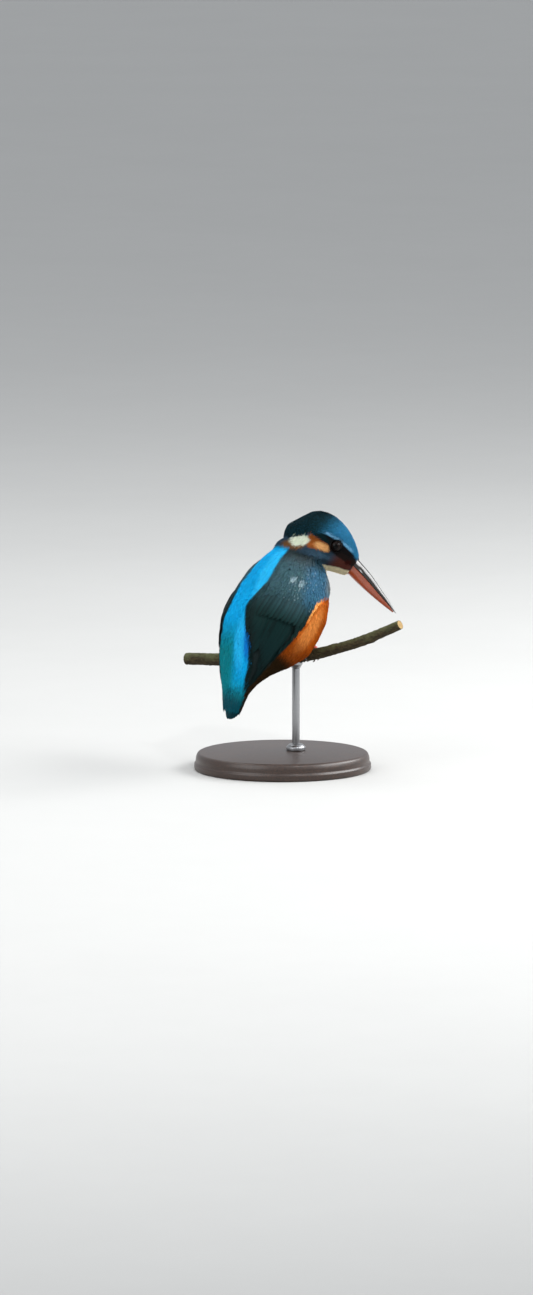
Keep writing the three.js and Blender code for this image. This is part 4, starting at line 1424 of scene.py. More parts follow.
def tube_rings(path, radii, lead, sides, squash=1.0):
    """Rings square to a path; squash narrows them along the lead."""
    along = unit(np.gradient(path, axis=0))
    across = unit(np.cross(np.broadcast_to(lead, along.shape), along))
    above = np.cross(along, across)
    angle = angles(sides)[None, :, None]
    circle = np.cos(angle) * across[:, None, :] + squash * np.sin(angle) * above[:, None, :]
    return path[:, None, :] + circle * np.asarray(radii)[:, None, None]


def rounded_ends(share, length, least):
    """Thickness along a tube that rounds off over a share of its length at both ends."""
    near = np.clip(np.minimum(share, 1 - share) / length, 0, 1)
    return np.sqrt(np.clip(1 - (1 - near) ** 2, least, 1))


# ---- Eyes and lids ----


def eye_axes(side):
    """Centre of an eye, and its directions outwards, forwards and up."""
    centre = outside(HEAD, EYE_CENTRE_MM * (1, side, 1))
    return centre, heading(HEAD, 0, side, 0), heading(HEAD, 1, 0, 0), heading(HEAD, 0, 0, 1)


def eye_circle(turn, ahead, up):
    return np.cos(turn)[:, None] * ahead + np.sin(turn)[:, None] * up


def eye_mesh(side, bare):
    """A ball with a slightly domed cornea over its opening, its pupil and iris as tints."""
    centre, out, ahead, up = eye_axes(side)
    circle = eye_circle(angles(40) * -side, ahead, up)
    rings, tints = [], []
    for angle in np.linspace(math.radians(1.5), math.radians(178.5), 44):
        iris = float(soft(angle, 0.46, 0.06) * (1 - soft(angle, 0.88, 0.14)))
        tints.append(shaded(bare.eye, 0.2 + 3.2 * iris))
        dome = 1 + 0.035 * math.exp(-((angle / 0.62) ** 2))
        ring = math.sin(angle) * circle + math.cos(angle) * out
        rings.append(centre + ring * EYE_RADIUS_MM * dome * MM)
    mesh = loft_mesh("eye", np.array(rings)[::-1])
    tinted(mesh, np.repeat(np.clip(tints, 0, 1)[::-1], len(circle), axis=0))
    return mesh


# The rim's own section, as rows of [out from the opening, height above the ball].
LID_SECTION_MM = (
    (0.0, 0.02), (0.03, 0.1), (0.1, 0.15), (0.19, 0.15), (0.32, 0.13), (0.5, 0.1), (0.72, -0.3),
    (0.4, -0.9), (0.04, -0.45),
)


def lid_mesh(side):
    """A bare rim round the eye, drawn out to a point at its front and rear corners."""
    centre, out, ahead, up = eye_axes(side)
    turn = angles(144)
    circle = eye_circle(turn, ahead, up)
    opening = EYE_OPENING_MM + 0.2 * np.abs(np.cos(turn)) ** 6 - 0.12 * np.abs(np.sin(turn)) ** 4
    bead = 0.035 * np.sin(turn * 36)
    points = []
    for widen, lift in LID_SECTION_MM:
        reach = opening + widen + (bead if widen > 0.1 and lift > 0 else 0)
        ball = EYE_RADIUS_MM + lift
        height = np.sqrt(np.maximum(ball**2 - np.minimum(reach, ball * 0.985) ** 2, 0.05))
        points.append(centre + (circle * reach[:, None] + out * height[:, None]) * MM)
    points = np.array(points).transpose(1, 0, 2)
    rings, sides = points.shape[:2]
    k, i = np.meshgrid(np.arange(rings), np.arange(sides), indexing="ij")
    at = lambda a, b: (a % rings) * sides + b % sides
    quads = np.stack([at(k, i), at(k, i + 1), at(k + 1, i + 1), at(k + 1, i)], -1).reshape(-1, 4)
    return facing_out(array_mesh("lid", points.reshape(-1, 3), quads))


# ---- Bill ----

# Rows of [distance ahead of the eyes, ridge, cutting edge, lower ridge, half width], in mm.
BILL_ROWS = [
    (6.5, -1.2, -4.4, -8.2, 3.4), (11, 0, -4.1, -8.8, 4.3), (16, -0.5, -4.4, -9.2, 3.9),
    (24, -1.9, -5.4, -9.6, 2.9), (32, -4.1, -6.6, -9.7, 2.1), (39, -6.0, -7.6, -9.5, 1.3),
    (45.5, -8.2, -8.7, -9.1, 0.5),
]
BILL_START_MM, BILL_TIP_MM = BILL_ROWS[0][0], BILL_ROWS[-1][0]
# How far the lower half's tip stays behind, and the gap between the halves, halved.
OVERBITE_MM = 1.4
BILL_GAP_MM = 0.12


def bill_mesh(up):
    """One half of the bill, 1 for the upper and -1 for the lower, with ridge, edge and nostrils."""
    end = BILL_TIP_MM - (0 if up > 0 else OVERBITE_MM)
    places = BILL_START_MM + (end - BILL_START_MM) * eased(84)
    ridge, edge, keel, half = smooth_rows(BILL_ROWS, places).T
    edge = edge + 0.1 * (ridge - keel)
    half = half * (1 if up > 0 else 0.95)
    arch = np.linspace(0, math.pi, 27)
    floor = np.linspace(-1, 1, 9)[1:-1]
    rings = []
    for ahead, r, e, k, w in zip(places, ridge, edge, keel, half):
        height = (r - e if up > 0 else e - k) - BILL_GAP_MM
        foot = e + up * BILL_GAP_MM
        across = np.sign(np.cos(arch)) * np.abs(np.cos(arch)) ** 0.88
        rise = np.sin(arch) ** 1.1
        # A sharp crest along the ridge, and a shallow furrow above the cutting edge.
        crest = 0.045 * height * np.exp(-((across / 0.13) ** 2))
        furrow = 0.05 * w * np.exp(-(((rise - 0.24) / 0.1) ** 2)) * soft(-ahead, -34, 10)
        side = across * (w - furrow)
        high = foot + up * (rise * height + crest)
        arc = np.stack([np.full_like(side, ahead), up * side, high], -1)
        # The hidden face is hollowed, so that the two halves meet along their edges.
        hollow = foot + up * 0.3 * height * (1 - floor**2) * soft(ahead, 14, 3) * soft(-ahead, -42, 6)
        under = np.stack([np.full_like(floor, ahead), up * floor * w, hollow], -1)
        rings.append(np.concatenate([arc, under]))
    rings = np.array(rings)
    if up > 0:
        for side in (-1, 1):
            middle = np.array((17.6, side * 3.0, -2.5))
            off = rings - middle
            along = (off[..., 0] * 0.96 - off[..., 2] * 0.28) / 1.5
            above = (off[..., 2] * 0.96 + off[..., 0] * 0.28) / 0.42
            near = np.exp(-(along**2 + above**2)) * (np.sign(rings[..., 1]) == side)
            rings[..., 1] -= side * 0.75 * near
    rings += bill_roughness(rings)
    shape = rings.shape
    return loft_mesh("bill", outside(HEAD, rings.reshape(-1, 3)).reshape(shape))


def bill_roughness(rings):
    """Faint waves along the horn."""
    made = np.zeros_like(rings)
    for k, ring in enumerate(rings):
        for n, (ahead, side, up) in enumerate(ring):
            made[k, n, 1] = 0.03 * noise.noise(Vector((ahead * 0.5, side * 1.4, up * 1.4)))
    return made


# ---- Branch ----

# Rows of [distance along the branch, height, share of its radius].
PERCH_ROWS = [
    (-66, -5.6, 0.98), (-50, -4.8, 1.0), (-36, -4.1, 1.1), (-20, -2.8, 1.0), (0, 0.0, 0.98),
    (14, 3.0, 0.92), (28, 7.2, 0.84), (40, 11.4, 0.86), (52, 16.6, 0.8), (62, 21.2, 0.78),
]
PERCH_START_MM, PERCH_END_MM = PERCH_ROWS[0][0], PERCH_ROWS[-1][0]
PERCH_RADIUS_MM = 3.35
PERCH_TURN = math.radians(20)
PERCH_ALONG = np.array((math.sin(PERCH_TURN), -math.cos(PERCH_TURN), 0))
PERCH_ACROSS = np.array((math.cos(PERCH_TURN), math.sin(PERCH_TURN), 0))


def perch_points(along):
    height = smooth_rows(PERCH_ROWS, along)[:, 0]
    local = np.asarray(along)[:, None] * PERCH_ALONG + height[:, None] * np.array((0, 0, 1.0))
    return outside(PERCH_MIDDLE, local)


PERCH_SIDES = 56
# Knots, as (distance along the branch, angle round it, height).
KNOTS = ((-41, 2.2, 0.55), (-15.5, -0.9, 0.25), (23, 1.2, 0.45), (45, -2.0, 0.6))
# A sawn end is a disc that steps in towards the middle, with a ring of wood for each year.
SAWN_SHARES = (0.94, 0.91, 0.84, 0.82, 0.72, 0.69, 0.58, 0.55, 0.43, 0.4, 0.27, 0.24, 0.12, 0.02)
SAWN_YEARS = (0.0, 1.0, 0.9, 0.55, 1.0, 0.6, 0.95, 0.5, 1.0, 0.6, 0.95, 0.5, 0.8, 0.35)


def bark_height(point):
    """Fine ridges of the bark that run along the branch."""
    spot = Vector(point) * 1000
    stretched = Vector((spot.x * 0.9, spot.y * 0.35, spot.z * 0.9))
    broad = 0.6 * abs(noise.noise(stretched * 1.4)) + 0.35 * noise.noise(spot * 0.5)
    return broad + 0.25 * noise.noise(spot * 2.2)


def perch_mesh(looks):
    """The branch, with ridged bark, knots and two sawn ends."""
    places = np.linspace(PERCH_START_MM, PERCH_END_MM, 300)
    path = perch_points(places)
    share = smooth_rows(PERCH_ROWS, places)[:, 1]
    to_end = np.minimum(places - PERCH_START_MM, PERCH_END_MM - places)
    radii = PERCH_RADIUS_MM * share * (0.93 + 0.07 * soft(to_end, 0.35, 0.7))
    rings = tube_rings(path, radii * MM, (0, 0, 1), PERCH_SIDES)
    outward = unit(rings - path[:, None, :])
    angle = np.tile(angles(PERCH_SIDES), len(places))
    where = np.repeat(places, PERCH_SIDES)
    rise = np.array([bark_height(point) for point in rings.reshape(-1, 3).tolist()])
    rise = (rise - 0.55) * (looks.ridge / MM) * 1.5
    for along, turn, size in KNOTS:
        gap = np.abs((angle - turn + math.pi) % (2 * math.pi) - math.pi)
        rise += size * np.exp(-((where - along) ** 2) / 3.2 - gap**2 / 0.22)
    rise *= np.where(np.repeat(to_end, PERCH_SIDES) < 0.3, 0.2, 1.0)
    rings = rings + outward * (rise.reshape(rings.shape[:2]) * MM)[..., None]
    start, finish = (
        np.array([path[k] + (rings[k] - path[k]) * s for s in SAWN_SHARES]) for k in (0, -1)
    )
    mesh = loft_mesh("perch", np.concatenate([start[::-1], rings, finish]))
    wood = np.concatenate([SAWN_YEARS[::-1], np.zeros(len(rings)), SAWN_YEARS])
    point_values(mesh, "wood", "FLOAT", "value", np.repeat(wood, PERCH_SIDES))
    return mesh


# ---- Feet ----

FOOT_MM = {
    "side": 8.2, "toe": 1.15, "gap": 0.3, "overlap": 14, "shank": 1.35,
    "rise": 9, "knee_x": -7, "knee_side": 9.2,
}
# Lean at the start and end of each toe, how far round the branch it reaches, and thickness.
TOES = {
    "inner": (1.5, 3.1, 88, 0.92),
    "middle": (0.2, 0.5, 112, 1.0),
    "outer": (-1.4, -2.0, 102, 0.94),
    "hind": (-0.3, 0.4, -96, 0.96),
}


# Three and a half pads along each toe.
PAD_WAVE = 2 * math.pi * 3.5


def foot_place(side):
    """Where a foot holds the branch: centre, axis and upright there, and the branch's radius."""
    along = -side * FOOT_MM["side"] / math.cos(PERCH_TURN)
    spots = perch_points(np.array((along - 0.5, along, along + 0.5)))
    axis = unit(spots[2] - spots[0])
    above = unit(np.cross(axis, PERCH_ACROSS))
    radius = PERCH_RADIUS_MM * smooth_rows(PERCH_ROWS, [along])[0, 1]
    return spots[1], axis, above, radius


def round_perch(place, turns, out_mm, lean_mm):
    centre, axis, above, _ = place
    turns = np.radians(turns)[:, None]
    lean = np.broadcast_to(lean_mm, (len(turns),))[:, None]
    out = np.broadcast_to(out_mm, (len(turns),))[:, None]
    reach = above * np.cos(turns) * out + PERCH_ACROSS * np.sin(turns) * out
    return centre + (axis * lean + reach) * MM


def toe_line(side, toe, shares):
    start_lean, end_lean, reach, _ = TOES[toe]
    place = foot_place(side)
    out = place[3] + FOOT_MM["toe"] + FOOT_MM["gap"]
    turns = -math.copysign(FOOT_MM["overlap"], reach) * (1 - shares) + reach * shares
    pads = 0.1 * np.cos(shares * PAD_WAVE)
    lean = start_lean * (1 - shares) + end_lean * shares
    return round_perch(place, turns, out + pads - 0.25, side * lean)


def toe_radius(thick, share):
    return FOOT_MM["toe"] * thick * (1 - 0.2 * share)


def foot_meshes(side):
    """Four padded toes and the short shank of one foot."""
    made = []
    place = foot_place(side)
    share = eased(40)
    for toe, (_, _, _, thick) in TOES.items():
        pads = 1 + 0.09 * np.cos(share * PAD_WAVE)
        radii = toe_radius(thick, share) * pads * rounded_ends(share, 0.07, 0.004) * MM
        rings = tube_rings(toe_line(side, toe, share), radii, place[1], 16)
        made.append(loft_mesh("toe", rings))
    ankle = round_perch(place, np.array([0.0]), place[3] + FOOT_MM["toe"], 0)[0]
    lift = ankle[2] - PERCH_PLACE[2] + FOOT_MM["rise"] * MM
    knee_mm = FOOT_MM["knee_x"], side * FOOT_MM["knee_side"]
    knee = np.array(PERCH_PLACE) + np.array((knee_mm[0] * MM, knee_mm[1] * MM, lift))
    share = np.linspace(0, 1, 24)
    path = ankle + (knee - ankle) * share[:, None]
    swell = 1 + 0.22 * np.exp(-((share / 0.16) ** 2))
    radii = FOOT_MM["shank"] * swell * rounded_ends(share, 0.1, 0.01) * MM
    made.append(loft_mesh("shank", tube_rings(path, radii, place[1], 18)))
    return made


def claw_mesh(side, toe):
    """A curved claw that starts inside its toe's end and thins to a point."""
    _, lean, reach, _ = TOES[toe]
    place = foot_place(side)
    away = math.copysign(1, reach)
    share = np.linspace(0, 1, 22)
    turns = reach - away * 4 + away * 50 * share
    out = place[3] + FOOT_MM["toe"] + FOOT_MM["gap"] - 0.1
    out = out + 0.55 * np.sin(np.pi * share) - 0.45 * share**2
    path = round_perch(place, turns, out, side * lean)
    radii = 0.78 * (1 - share) ** 0.72 * MM + 0.03 * MM
    return loft_mesh("claw", tube_rings(path, radii, place[1], 14, squash=0.72))


# ---- Geometry Nodes ----


def geometry_group(name, inputs, build):
    """A node tree, made once, whose instances on a mesh become plain faces of one material."""
    if name not in bpy.data.node_groups:
        inputs = [("Geometry", "Geometry", None), *inputs, ("Material", "Material", None)]
        outputs = [("Geometry", "Geometry")]
        nodes, given, result = new_tree(name, "GeometryNodeTree", inputs, outputs)
        realised = nodes.out("GeometryNodeRealizeInstances", {0: build(nodes, given)})
        smooth = nodes.out("GeometryNodeSetShadeSmooth", {"Geometry": realised})
        values = {"Geometry": smooth, "Material": given["Material"]}
        finished = nodes.out("GeometryNodeSetMaterial", values)
        nodes.tree.links.new(finished, result["Geometry"])
    return bpy.data.node_groups[name]


def nodes_mesh(mesh, tree, values):
    """What a geometry tree makes of a mesh, as a plain mesh."""
    holder = added("nodes_holder", mesh)
    modifier = holder.modifiers.new("Nodes", "NODES")
    modifier.node_group = tree
    items = tree.interface.items_tree
    identifiers = {item.name: item.identifier for item in items if item.in_out == "INPUT"}
    for label, value in values.items():
        modifier[identifiers[label]] = value
    return evaluated(holder)


def turned_to(nodes, axis, vector, before=None, pivot="AUTO"):
    """The rotation that points an axis along a vector, starting from the one before."""
    values = {"Vector": vector} if before is None else {"Vector": vector, "Rotation": before}
    return nodes.out("FunctionNodeAlignRotationToVector", values, axis=axis, pivot_axis=pivot)


def named_vector(nodes, name):
    values = {"Name": name}
    return nodes.out("GeometryNodeInputNamedAttribute", values, data_type="FLOAT_VECTOR")


def size_of(nodes, given, *labels):
    return nodes.out("ShaderNodeCombineXYZ", {k: given[label] for k, label in enumerate(labels)})


def small_ball(nodes, subdivisions):
    return nodes.out("GeometryNodeMeshIcoSphere", {"Radius": 1.0, "Subdivisions": subdivisions})


def instances(nodes, points, instance, rotation, scale):
    values = {"Points": points, "Instance": instance, "Rotation": rotation, "Scale": scale}
    return nodes.out("GeometryNodeInstanceOnPoints", values)


def plates_group():
    """A flat domed plate at every point, laid along the point's own directions."""

    def build(nodes, given):
        upright = turned_to(nodes, "Z", named_vector(nodes, "outward"))
        rotation = turned_to(nodes, "X", named_vector(nodes, "along"), upright, "Z")
        size = size_of(nodes, given, "Length", "Width", "Height")
        values = {0: size, 1: named_vector(nodes, "size")}
        scale = nodes.out("ShaderNodeVectorMath", values, operation="MULTIPLY")
        return instances(nodes, given["Geometry"], small_ball(nodes, 2), rotation, scale)

    inputs = [("Length", "Float", 0.0005), ("Width", "Float", 0.001), ("Height", "Float", 0.0002)]
    return geometry_group("Plates", inputs, build)


def flakes_group():
    """Flat flakes scattered over a surface and turned at random about its normal."""

    def build(nodes, given):
        values = {"Mesh": given["Geometry"], "Density": given["Density"], "Seed": given["Seed"]}
        spread = nodes.add("GeometryNodeDistributePointsOnFaces", values)
        angle = nodes.out("ShaderNodeCombineXYZ", {2: random_number(nodes, given, 0.0, 0.7)})
        spin = nodes.out("FunctionNodeEulerToRotation", {0: angle})
        values = {0: spread.outputs["Rotation"], 1: spin}
        turn = nodes.out("FunctionNodeRotateRotation", values, rotation_space="LOCAL")
        values = {
            0: size_of(nodes, given, "Width", "Length", "Height"),
            3: random_number(nodes, given, 0.5, 1.5),
        }
        scale = nodes.out("ShaderNodeVectorMath", values, operation="SCALE")
        return instances(nodes, spread.outputs["Points"], small_ball(nodes, 1), turn, scale)

    inputs = [
        ("Density", "Float", 200000.0), ("Seed", "Int", 3), ("Width", "Float", 0.0003),
        ("Length", "Float", 0.0008), ("Height", "Float", 0.0001),
    ]
    return geometry_group("Flakes", inputs, build)


def random_number(nodes, given, low, high):
    values = {"Min": low, "Max": high, "Seed": given["Seed"]}
    node = nodes.add("FunctionNodeRandomValue", values, data_type="FLOAT")
    return next(output for output in node.outputs if output.enabled)


# ---- Operators ----


class KINGFISHER_OT_skin(bpy.types.Operator):
    """Make one smooth skin for the flesh, with the lids and the feet"""

    bl_idname = "kingfisher.skin"
    bl_label = "Skin"

    def execute(self, context):
        looks, bare = context.scene.kingfisher_plumage, context.scene.kingfisher_bare
        points, triangles = skin_arrays(looks)
        surface = Surface(points, triangles, looks)
        STATE["surface"] = surface
        mesh = array_mesh("skin", points, triangles)
        tinted(mesh, surface.tint * 0.75)
        mesh.materials.append(skin_material())
        matt = {"Roughness": 0.7, "Specular IOR Level": 0.05}
        lid = mottled_material("Lid skin", bare.lid, 1.5, matt, 900.0, 0.6, (0.4, 0.03))
        foot = foot_material(bare)
        meshes = [mesh]
        for _, side in SIDES:
            rim = lid_mesh(side)
            rim.materials.append(lid)
            meshes.append(rim)
            for part in foot_meshes(side):
                part.materials.append(foot)
                meshes.append(part)
        skin = joined("skin", meshes)
        piece("skin", skin, None, "plumage_belly", (*FLESH, "foot_right", "foot_left"))
        return {"FINISHED"}


def foot_material(bare):
    waxy = {"Roughness": 0.42, "Coat Weight": 0.15}
    return mottled_material("Scaly foot", bare.foot, 0.45, waxy, 700.0, 0.45, (0.4, 0.06))


class KINGFISHER_OT_coat(bpy.types.Operator):
    """Lay the small feathers over the skin"""

    bl_idname = "kingfisher.coat"
    bl_label = "Coat of small feathers"

    def execute(self, context):
        looks = context.scene.kingfisher_plumage
        vanes = body_coat(STATE["surface"], looks)
        soft_coat = feather_material("Soft feathers", 0.7, 34.0, 0.12, 0.05)
        silky = feather_material("Silky feathers", 0.5, 40.0, 0.1, 0.08)
        for name, made in vanes.items():
            slot = PIECES[name][2]
            finish = soft_coat if slot in ("plumage_crown", "plumage_belly") else silky
            piece(name, made.mesh(name), finish, slot)
        return {"FINISHED"}


class KINGFISHER_OT_wings(bpy.types.Operator):
    """Lay the long feathers of the folded wings"""

    bl_idname = "kingfisher.wings"
    bl_label = "Flight feathers"

    def execute(self, context):
        looks = context.scene.kingfisher_plumage
        rng = np.random.default_rng(looks.seed + 1)
        for word, side in SIDES:
            name = f"flight_feathers_{word}"
            made = flight_feathers(STATE["surface"], looks, side, rng)
            piece(name, made.mesh(name), quill_material(), "plumage_wing")
        return {"FINISHED"}


class KINGFISHER_OT_tail(bpy.types.Operator):
    """Make the twelve tail feathers"""

    bl_idname = "kingfisher.tail"
    bl_label = "Tail"

    def execute(self, context):
        looks = context.scene.kingfisher_plumage
        made = tail_feathers(looks, np.random.default_rng(looks.seed + 2))
        mesh = made.mesh("tail_feathers")
        piece("tail_feathers", mesh, quill_material(), "plumage_tail", ("tail",))
        return {"FINISHED"}


class KINGFISHER_OT_eyes(bpy.types.Operator):
    """Make both eyes"""

    bl_idname = "kingfisher.eyes"
    bl_label = "Eyes"

    def execute(self, context):
        bare = context.scene.kingfisher_bare
        finish = eye_material()
        for word, side in SIDES:
            piece(f"eye_ball_{word}", eye_mesh(side, bare), finish, "eye", (f"eye_{word}",))
        return {"FINISHED"}


def eye_material():
    """Wet glass with a black pupil, whose dark iris has fine streaks."""

    def build(nodes):
        tint = nodes.attribute("tint")
        darker = nodes.mix(1.0, tint, (0.3, 0.25, 0.2), "MULTIPLY")
        out = mottled(nodes, object_place(nodes), tint, darker, 1500.0, 0.7)
        return {"Base Color": out["Colour"]}

    return material("Eye", {"Roughness": 0.1, "Specular IOR Level": 0.1}, build)


class KINGFISHER_OT_bill(bpy.types.Operator):
    """Make the two halves of the bill"""

    bl_idname = "kingfisher.bill"
    bl_label = "Bill"

    def execute(self, context):
        bare = context.scene.kingfisher_bare
        horn = {"Specular IOR Level": 0.6, "Coat Weight": 0.35, "Coat Roughness": 0.12}
        patches = 260.0, 0.55, (0.25, 0.05), (0.2, 0.34)
        upper = mottled_material("Upper bill", bare.bill_upper, 2.2, horn, *patches)
        lower = mottled_material("Lower bill", bare.bill_lower, 0.45, horn, *patches)
        piece("bill_upper_horn", bill_mesh(1), upper, "bill_upper", ("bill_upper",))
        piece("bill_lower_horn", bill_mesh(-1), lower, "bill_lower", ("bill_lower",))
        return {"FINISHED"}


class KINGFISHER_OT_feet(bpy.types.Operator):
    """Make the claws and the scutes of the toes"""

    bl_idname = "kingfisher.feet"
    bl_label = "Claws and scutes"

    def execute(self, context):
        bare = context.scene.kingfisher_bare
        horn = {"Roughness": 0.25, "Coat Weight": 0.3}
        finish = mottled_material("Claw", bare.claw, 2, horn, 500.0, 0.6, (0.4, 0.03))
        spots, outward, along, size = [], [], [], []
        for word, side in SIDES:
            centre, axis, _, _ = foot_place(side)
            for toe, (_, _, reach, thick) in TOES.items():
                name = f"claw_{word}_{toe}"
                piece(f"{name}_horn", claw_mesh(side, toe), finish, "claw", (name,))
                count = 15
                share = np.linspace(0.16, 0.95, count)
                line = toe_line(side, toe, share)
                off = line - centre
                up = unit(off - axis * (off @ axis)[:, None])
                spots.append(line + up * (toe_radius(thick, share) * 0.86 * MM)[:, None])
                outward.append(up)
                along.append(unit(np.gradient(line, axis=0)))
                size.append(np.stack([np.ones(count), 1 - 0.25 * share, np.ones(count)], -1))
        points = bpy.data.meshes.new("scute_points")
        points.from_pydata(np.concatenate(spots).tolist(), [], [])
        for name, values in (("outward", outward), ("along", along), ("size", size)):
            point_values(points, name, "FLOAT_VECTOR", "vector", np.concatenate(values))
        plates = {
            "Length": 0.00062, "Width": 0.00082, "Height": 0.00026,
            "Material": foot_material(bare),
        }
        piece("foot_scutes", nodes_mesh(points, plates_group(), plates), None, "foot")
        return {"FINISHED"}


class KINGFISHER_OT_perch(bpy.types.Operator):
    """Make the cut branch with its bark"""

    bl_idname = "kingfisher.perch"
    bl_label = "Branch"

    def execute(self, context):
        looks = context.scene.kingfisher_perch
        mesh = perch_mesh(looks)
        flakes = {
            "Density": 260000.0, "Seed": 5, "Width": 0.00022, "Length": 0.0007,
            "Height": 0.00008, "Material": bark_material(looks),
        }
        sleeve = mesh.copy()
        piece("perch_branch", mesh, bark_material(looks), "bark", ("perch",))
        piece("bark_flakes", nodes_mesh(sleeve, flakes_group(), flakes), None, "bark")
        return {"FINISHED"}


def bark_material(looks):
    """Bark with long cracks and algae on top, and growth rings on the sawn ends."""

    def build(nodes):
        coordinates = nodes.add("ShaderNodeTexCoord").outputs["Object"]
        turned = {"Vector": coordinates, "Rotation": (0, 0, -PERCH_TURN)}
        place = nodes.out("ShaderNodeMapping", turned)
        stretched = nodes.out("ShaderNodeMapping", {"Vector": place, "Scale": (1.0, 0.28, 1.0)})
        cracks = nodes.noise(stretched, 1100.0, Detail=5.0, Roughness=0.65)
        ground = mottled(nodes, place, looks.bark, shaded(looks.bark, 1.9), 220.0, 0.7)
        bark = nodes.mix(nodes.ranged(cracks, 0.38, 0.58), looks.bark_dark, ground["Colour"])
        facing = nodes.add("ShaderNodeNewGeometry").outputs["Normal"]
        upward = nodes.add("ShaderNodeSeparateXYZ", {0: facing}).outputs[2]
        film = nodes.noise(place, 160.0, Detail=3.0)
        green = nodes.math("ADD", nodes.times(upward, 0.35), film)
        bark = nodes.mix(nodes.ranged(green, 0.45, 0.85, to_high=0.75), bark, looks.algae)
        wood = nodes.attribute("wood", "Fac")
        sawn = nodes.mix(nodes.ranged(wood, 0.4, 1.0), shaded(looks.cut, 0.45), looks.cut)
        covered = nodes.mix(nodes.ranged(wood, 0.1, 0.3), bark, sawn)
        return {"Base Color": covered, "Normal": bump(nodes, cracks, 0.7, 0.35)}

    return material("Bark", {"Roughness": 0.85, "Specular IOR Level": 0.25}, build)


class KINGFISHER_OT_stand(bpy.types.Operator):
    """Make the display stand"""

    bl_idname = "kingfisher.stand"
    bl_label = "Display stand"

    def execute(self, context):
        looks = context.scene.kingfisher_stand
        rod = PERCH_PLACE[:2]
        base = rounded(
            [(0.02, 0), (45.4, 0), (46, 0.8), (46, 3.2), (45.2, 4.2), (45.2, 6.2), (44.2, 9),
             (0.02, 9)],
            [0, 0.4, 0.4, 0.5, 0.5, 0.8, 1.4, 0],
        )
        collar = rounded(
            [(0.02, 9.3), (5, 9.3), (5, 10.9), (3.6, 12.3), (0.02, 12.3)], [0, 0.15, 0.6, 0.5, 0]
        )
        pole = rounded([(0.02, 12.6), (2, 12.6), (2, 52.15), (0.02, 52.15)], [0, 0.15, 0.15, 0])
        steel = steel_material(looks)
        base = turned_mesh("base", base, (0, 0), 160)
        piece("stand_base_turned", base, wood_material(looks), "stand_wood", ("stand_base",))
        for word, mesh in (
            ("collar", turned_mesh("collar", collar, rod)),
            ("rod", turned_mesh("rod", pole, rod, 48)),
            ("cradle", cradle_mesh(rod)),
        ):
            piece(f"stand_{word}_turned", mesh, steel, "stand_steel", (f"stand_{word}",))
        return {"FINISHED"}


CRADLE_SIDES = 96
# Heights of the cradle's foot, of the end of its flare, and of the highest point of its rim.
CRADLE_FOOT_MM, FLARE_END_MM, CRADLE_TOP_MM = 52.45, 54.65, 57.15


def cradle_mesh(rod):
    """A flared cup whose top is hollowed to the underside of the branch."""
    circle = flat_circle(CRADLE_SIDES)

    def spread(radius):
        return circle * np.broadcast_to(radius, (CRADLE_SIDES,))[:, None]

    def hollow(radius):
        flat = spread(radius)
        height, share = smooth_rows(PERCH_ROWS, flat @ PERCH_ALONG).T
        reach = PERCH_RADIUS_MM * share + 0.1
        drop = np.sqrt(np.maximum(reach**2 - (flat @ PERCH_ACROSS) ** 2, 0))
        return np.minimum(PERCH_MIDDLE.translation.z / MM + height - drop, CRADLE_TOP_MM)

    foot = CRADLE_FOOT_MM
    rows = [(0.02, foot), (2.3, foot), (2.46, foot + 0.06)]
    rim = hollow(3.5) - 0.15
    for share in np.linspace(0.04, 1, 14):
        level = foot + (rim - foot) * share
        flare = soft(level, (foot + FLARE_END_MM) / 2, FLARE_END_MM - foot)
        rows.append((2.5 + flare, level))
    edge = rows[-1][0]
    rows += [(edge - 0.05, hollow(edge - 0.05) - 0.04), (edge - 0.15, hollow(edge - 0.15))]
    inwards = (0.9, 0.8, 0.7, 0.6, 0.5, 0.4, 0.3, 0.2, 0.1, 0.01)
    rows += [(edge * s, hollow(edge * s)) for s in inwards]
    rings = []
    for radius, level in rows:
        ring = spread(radius)
        ring[:, 2] = level
        rings.append(np.array((*rod, 0.0)) + ring * MM)
    return loft_mesh("cradle", rings)


def wood_material(looks):
    def build(nodes):
        place = object_place(nodes, (1.0, 7.0, 7.0))
        wide = nodes.noise(place, 38.0, Detail=5.0, Distortion=0.8)
        line = nodes.ranged(nodes.math("SINE", nodes.times(wide, 70.0)), -1.0, 1.0)
        pores = nodes.noise(object_place(nodes, (1.0, 14.0, 14.0)), 210.0, Detail=2.0)
        pore = nodes.ranged(pores, 0.36, 0.5)
        grain = nodes.mix(nodes.times(line, 0.75), looks.wood, looks.wood_dark)
        colour = nodes.mix(pore, looks.wood_dark, grain)
        rough = nodes.ranged(pores, to_low=0.38, to_high=0.5)
        return {"Base Color": colour, "Roughness": rough, "Normal": bump(nodes, pore, 0.15, 0.05)}

    return material("Stained wood", {"Coat Weight": 0.25, "Coat Roughness": 0.25}, build)


def steel_material(looks):
    def build(nodes):
        brushed = nodes.noise(object_place(nodes, (1.0, 1.0, 30.0)), 260.0, Detail=3.0)
        rough = nodes.ranged(brushed, to_low=0.24, to_high=0.42)
        tone = nodes.mix(brushed, shaded(looks.steel, 0.8), looks.steel)
        return {"Base Color": tone, "Roughness": rough, "Normal": bump(nodes, brushed, 0.1, 0.02)}

    return material("Brushed steel", {"Metallic": 1.0}, build)


# How far the camera aims right of and above the branch's middle.
VIEW_SHIFT = (-0.0153, 0.0049)


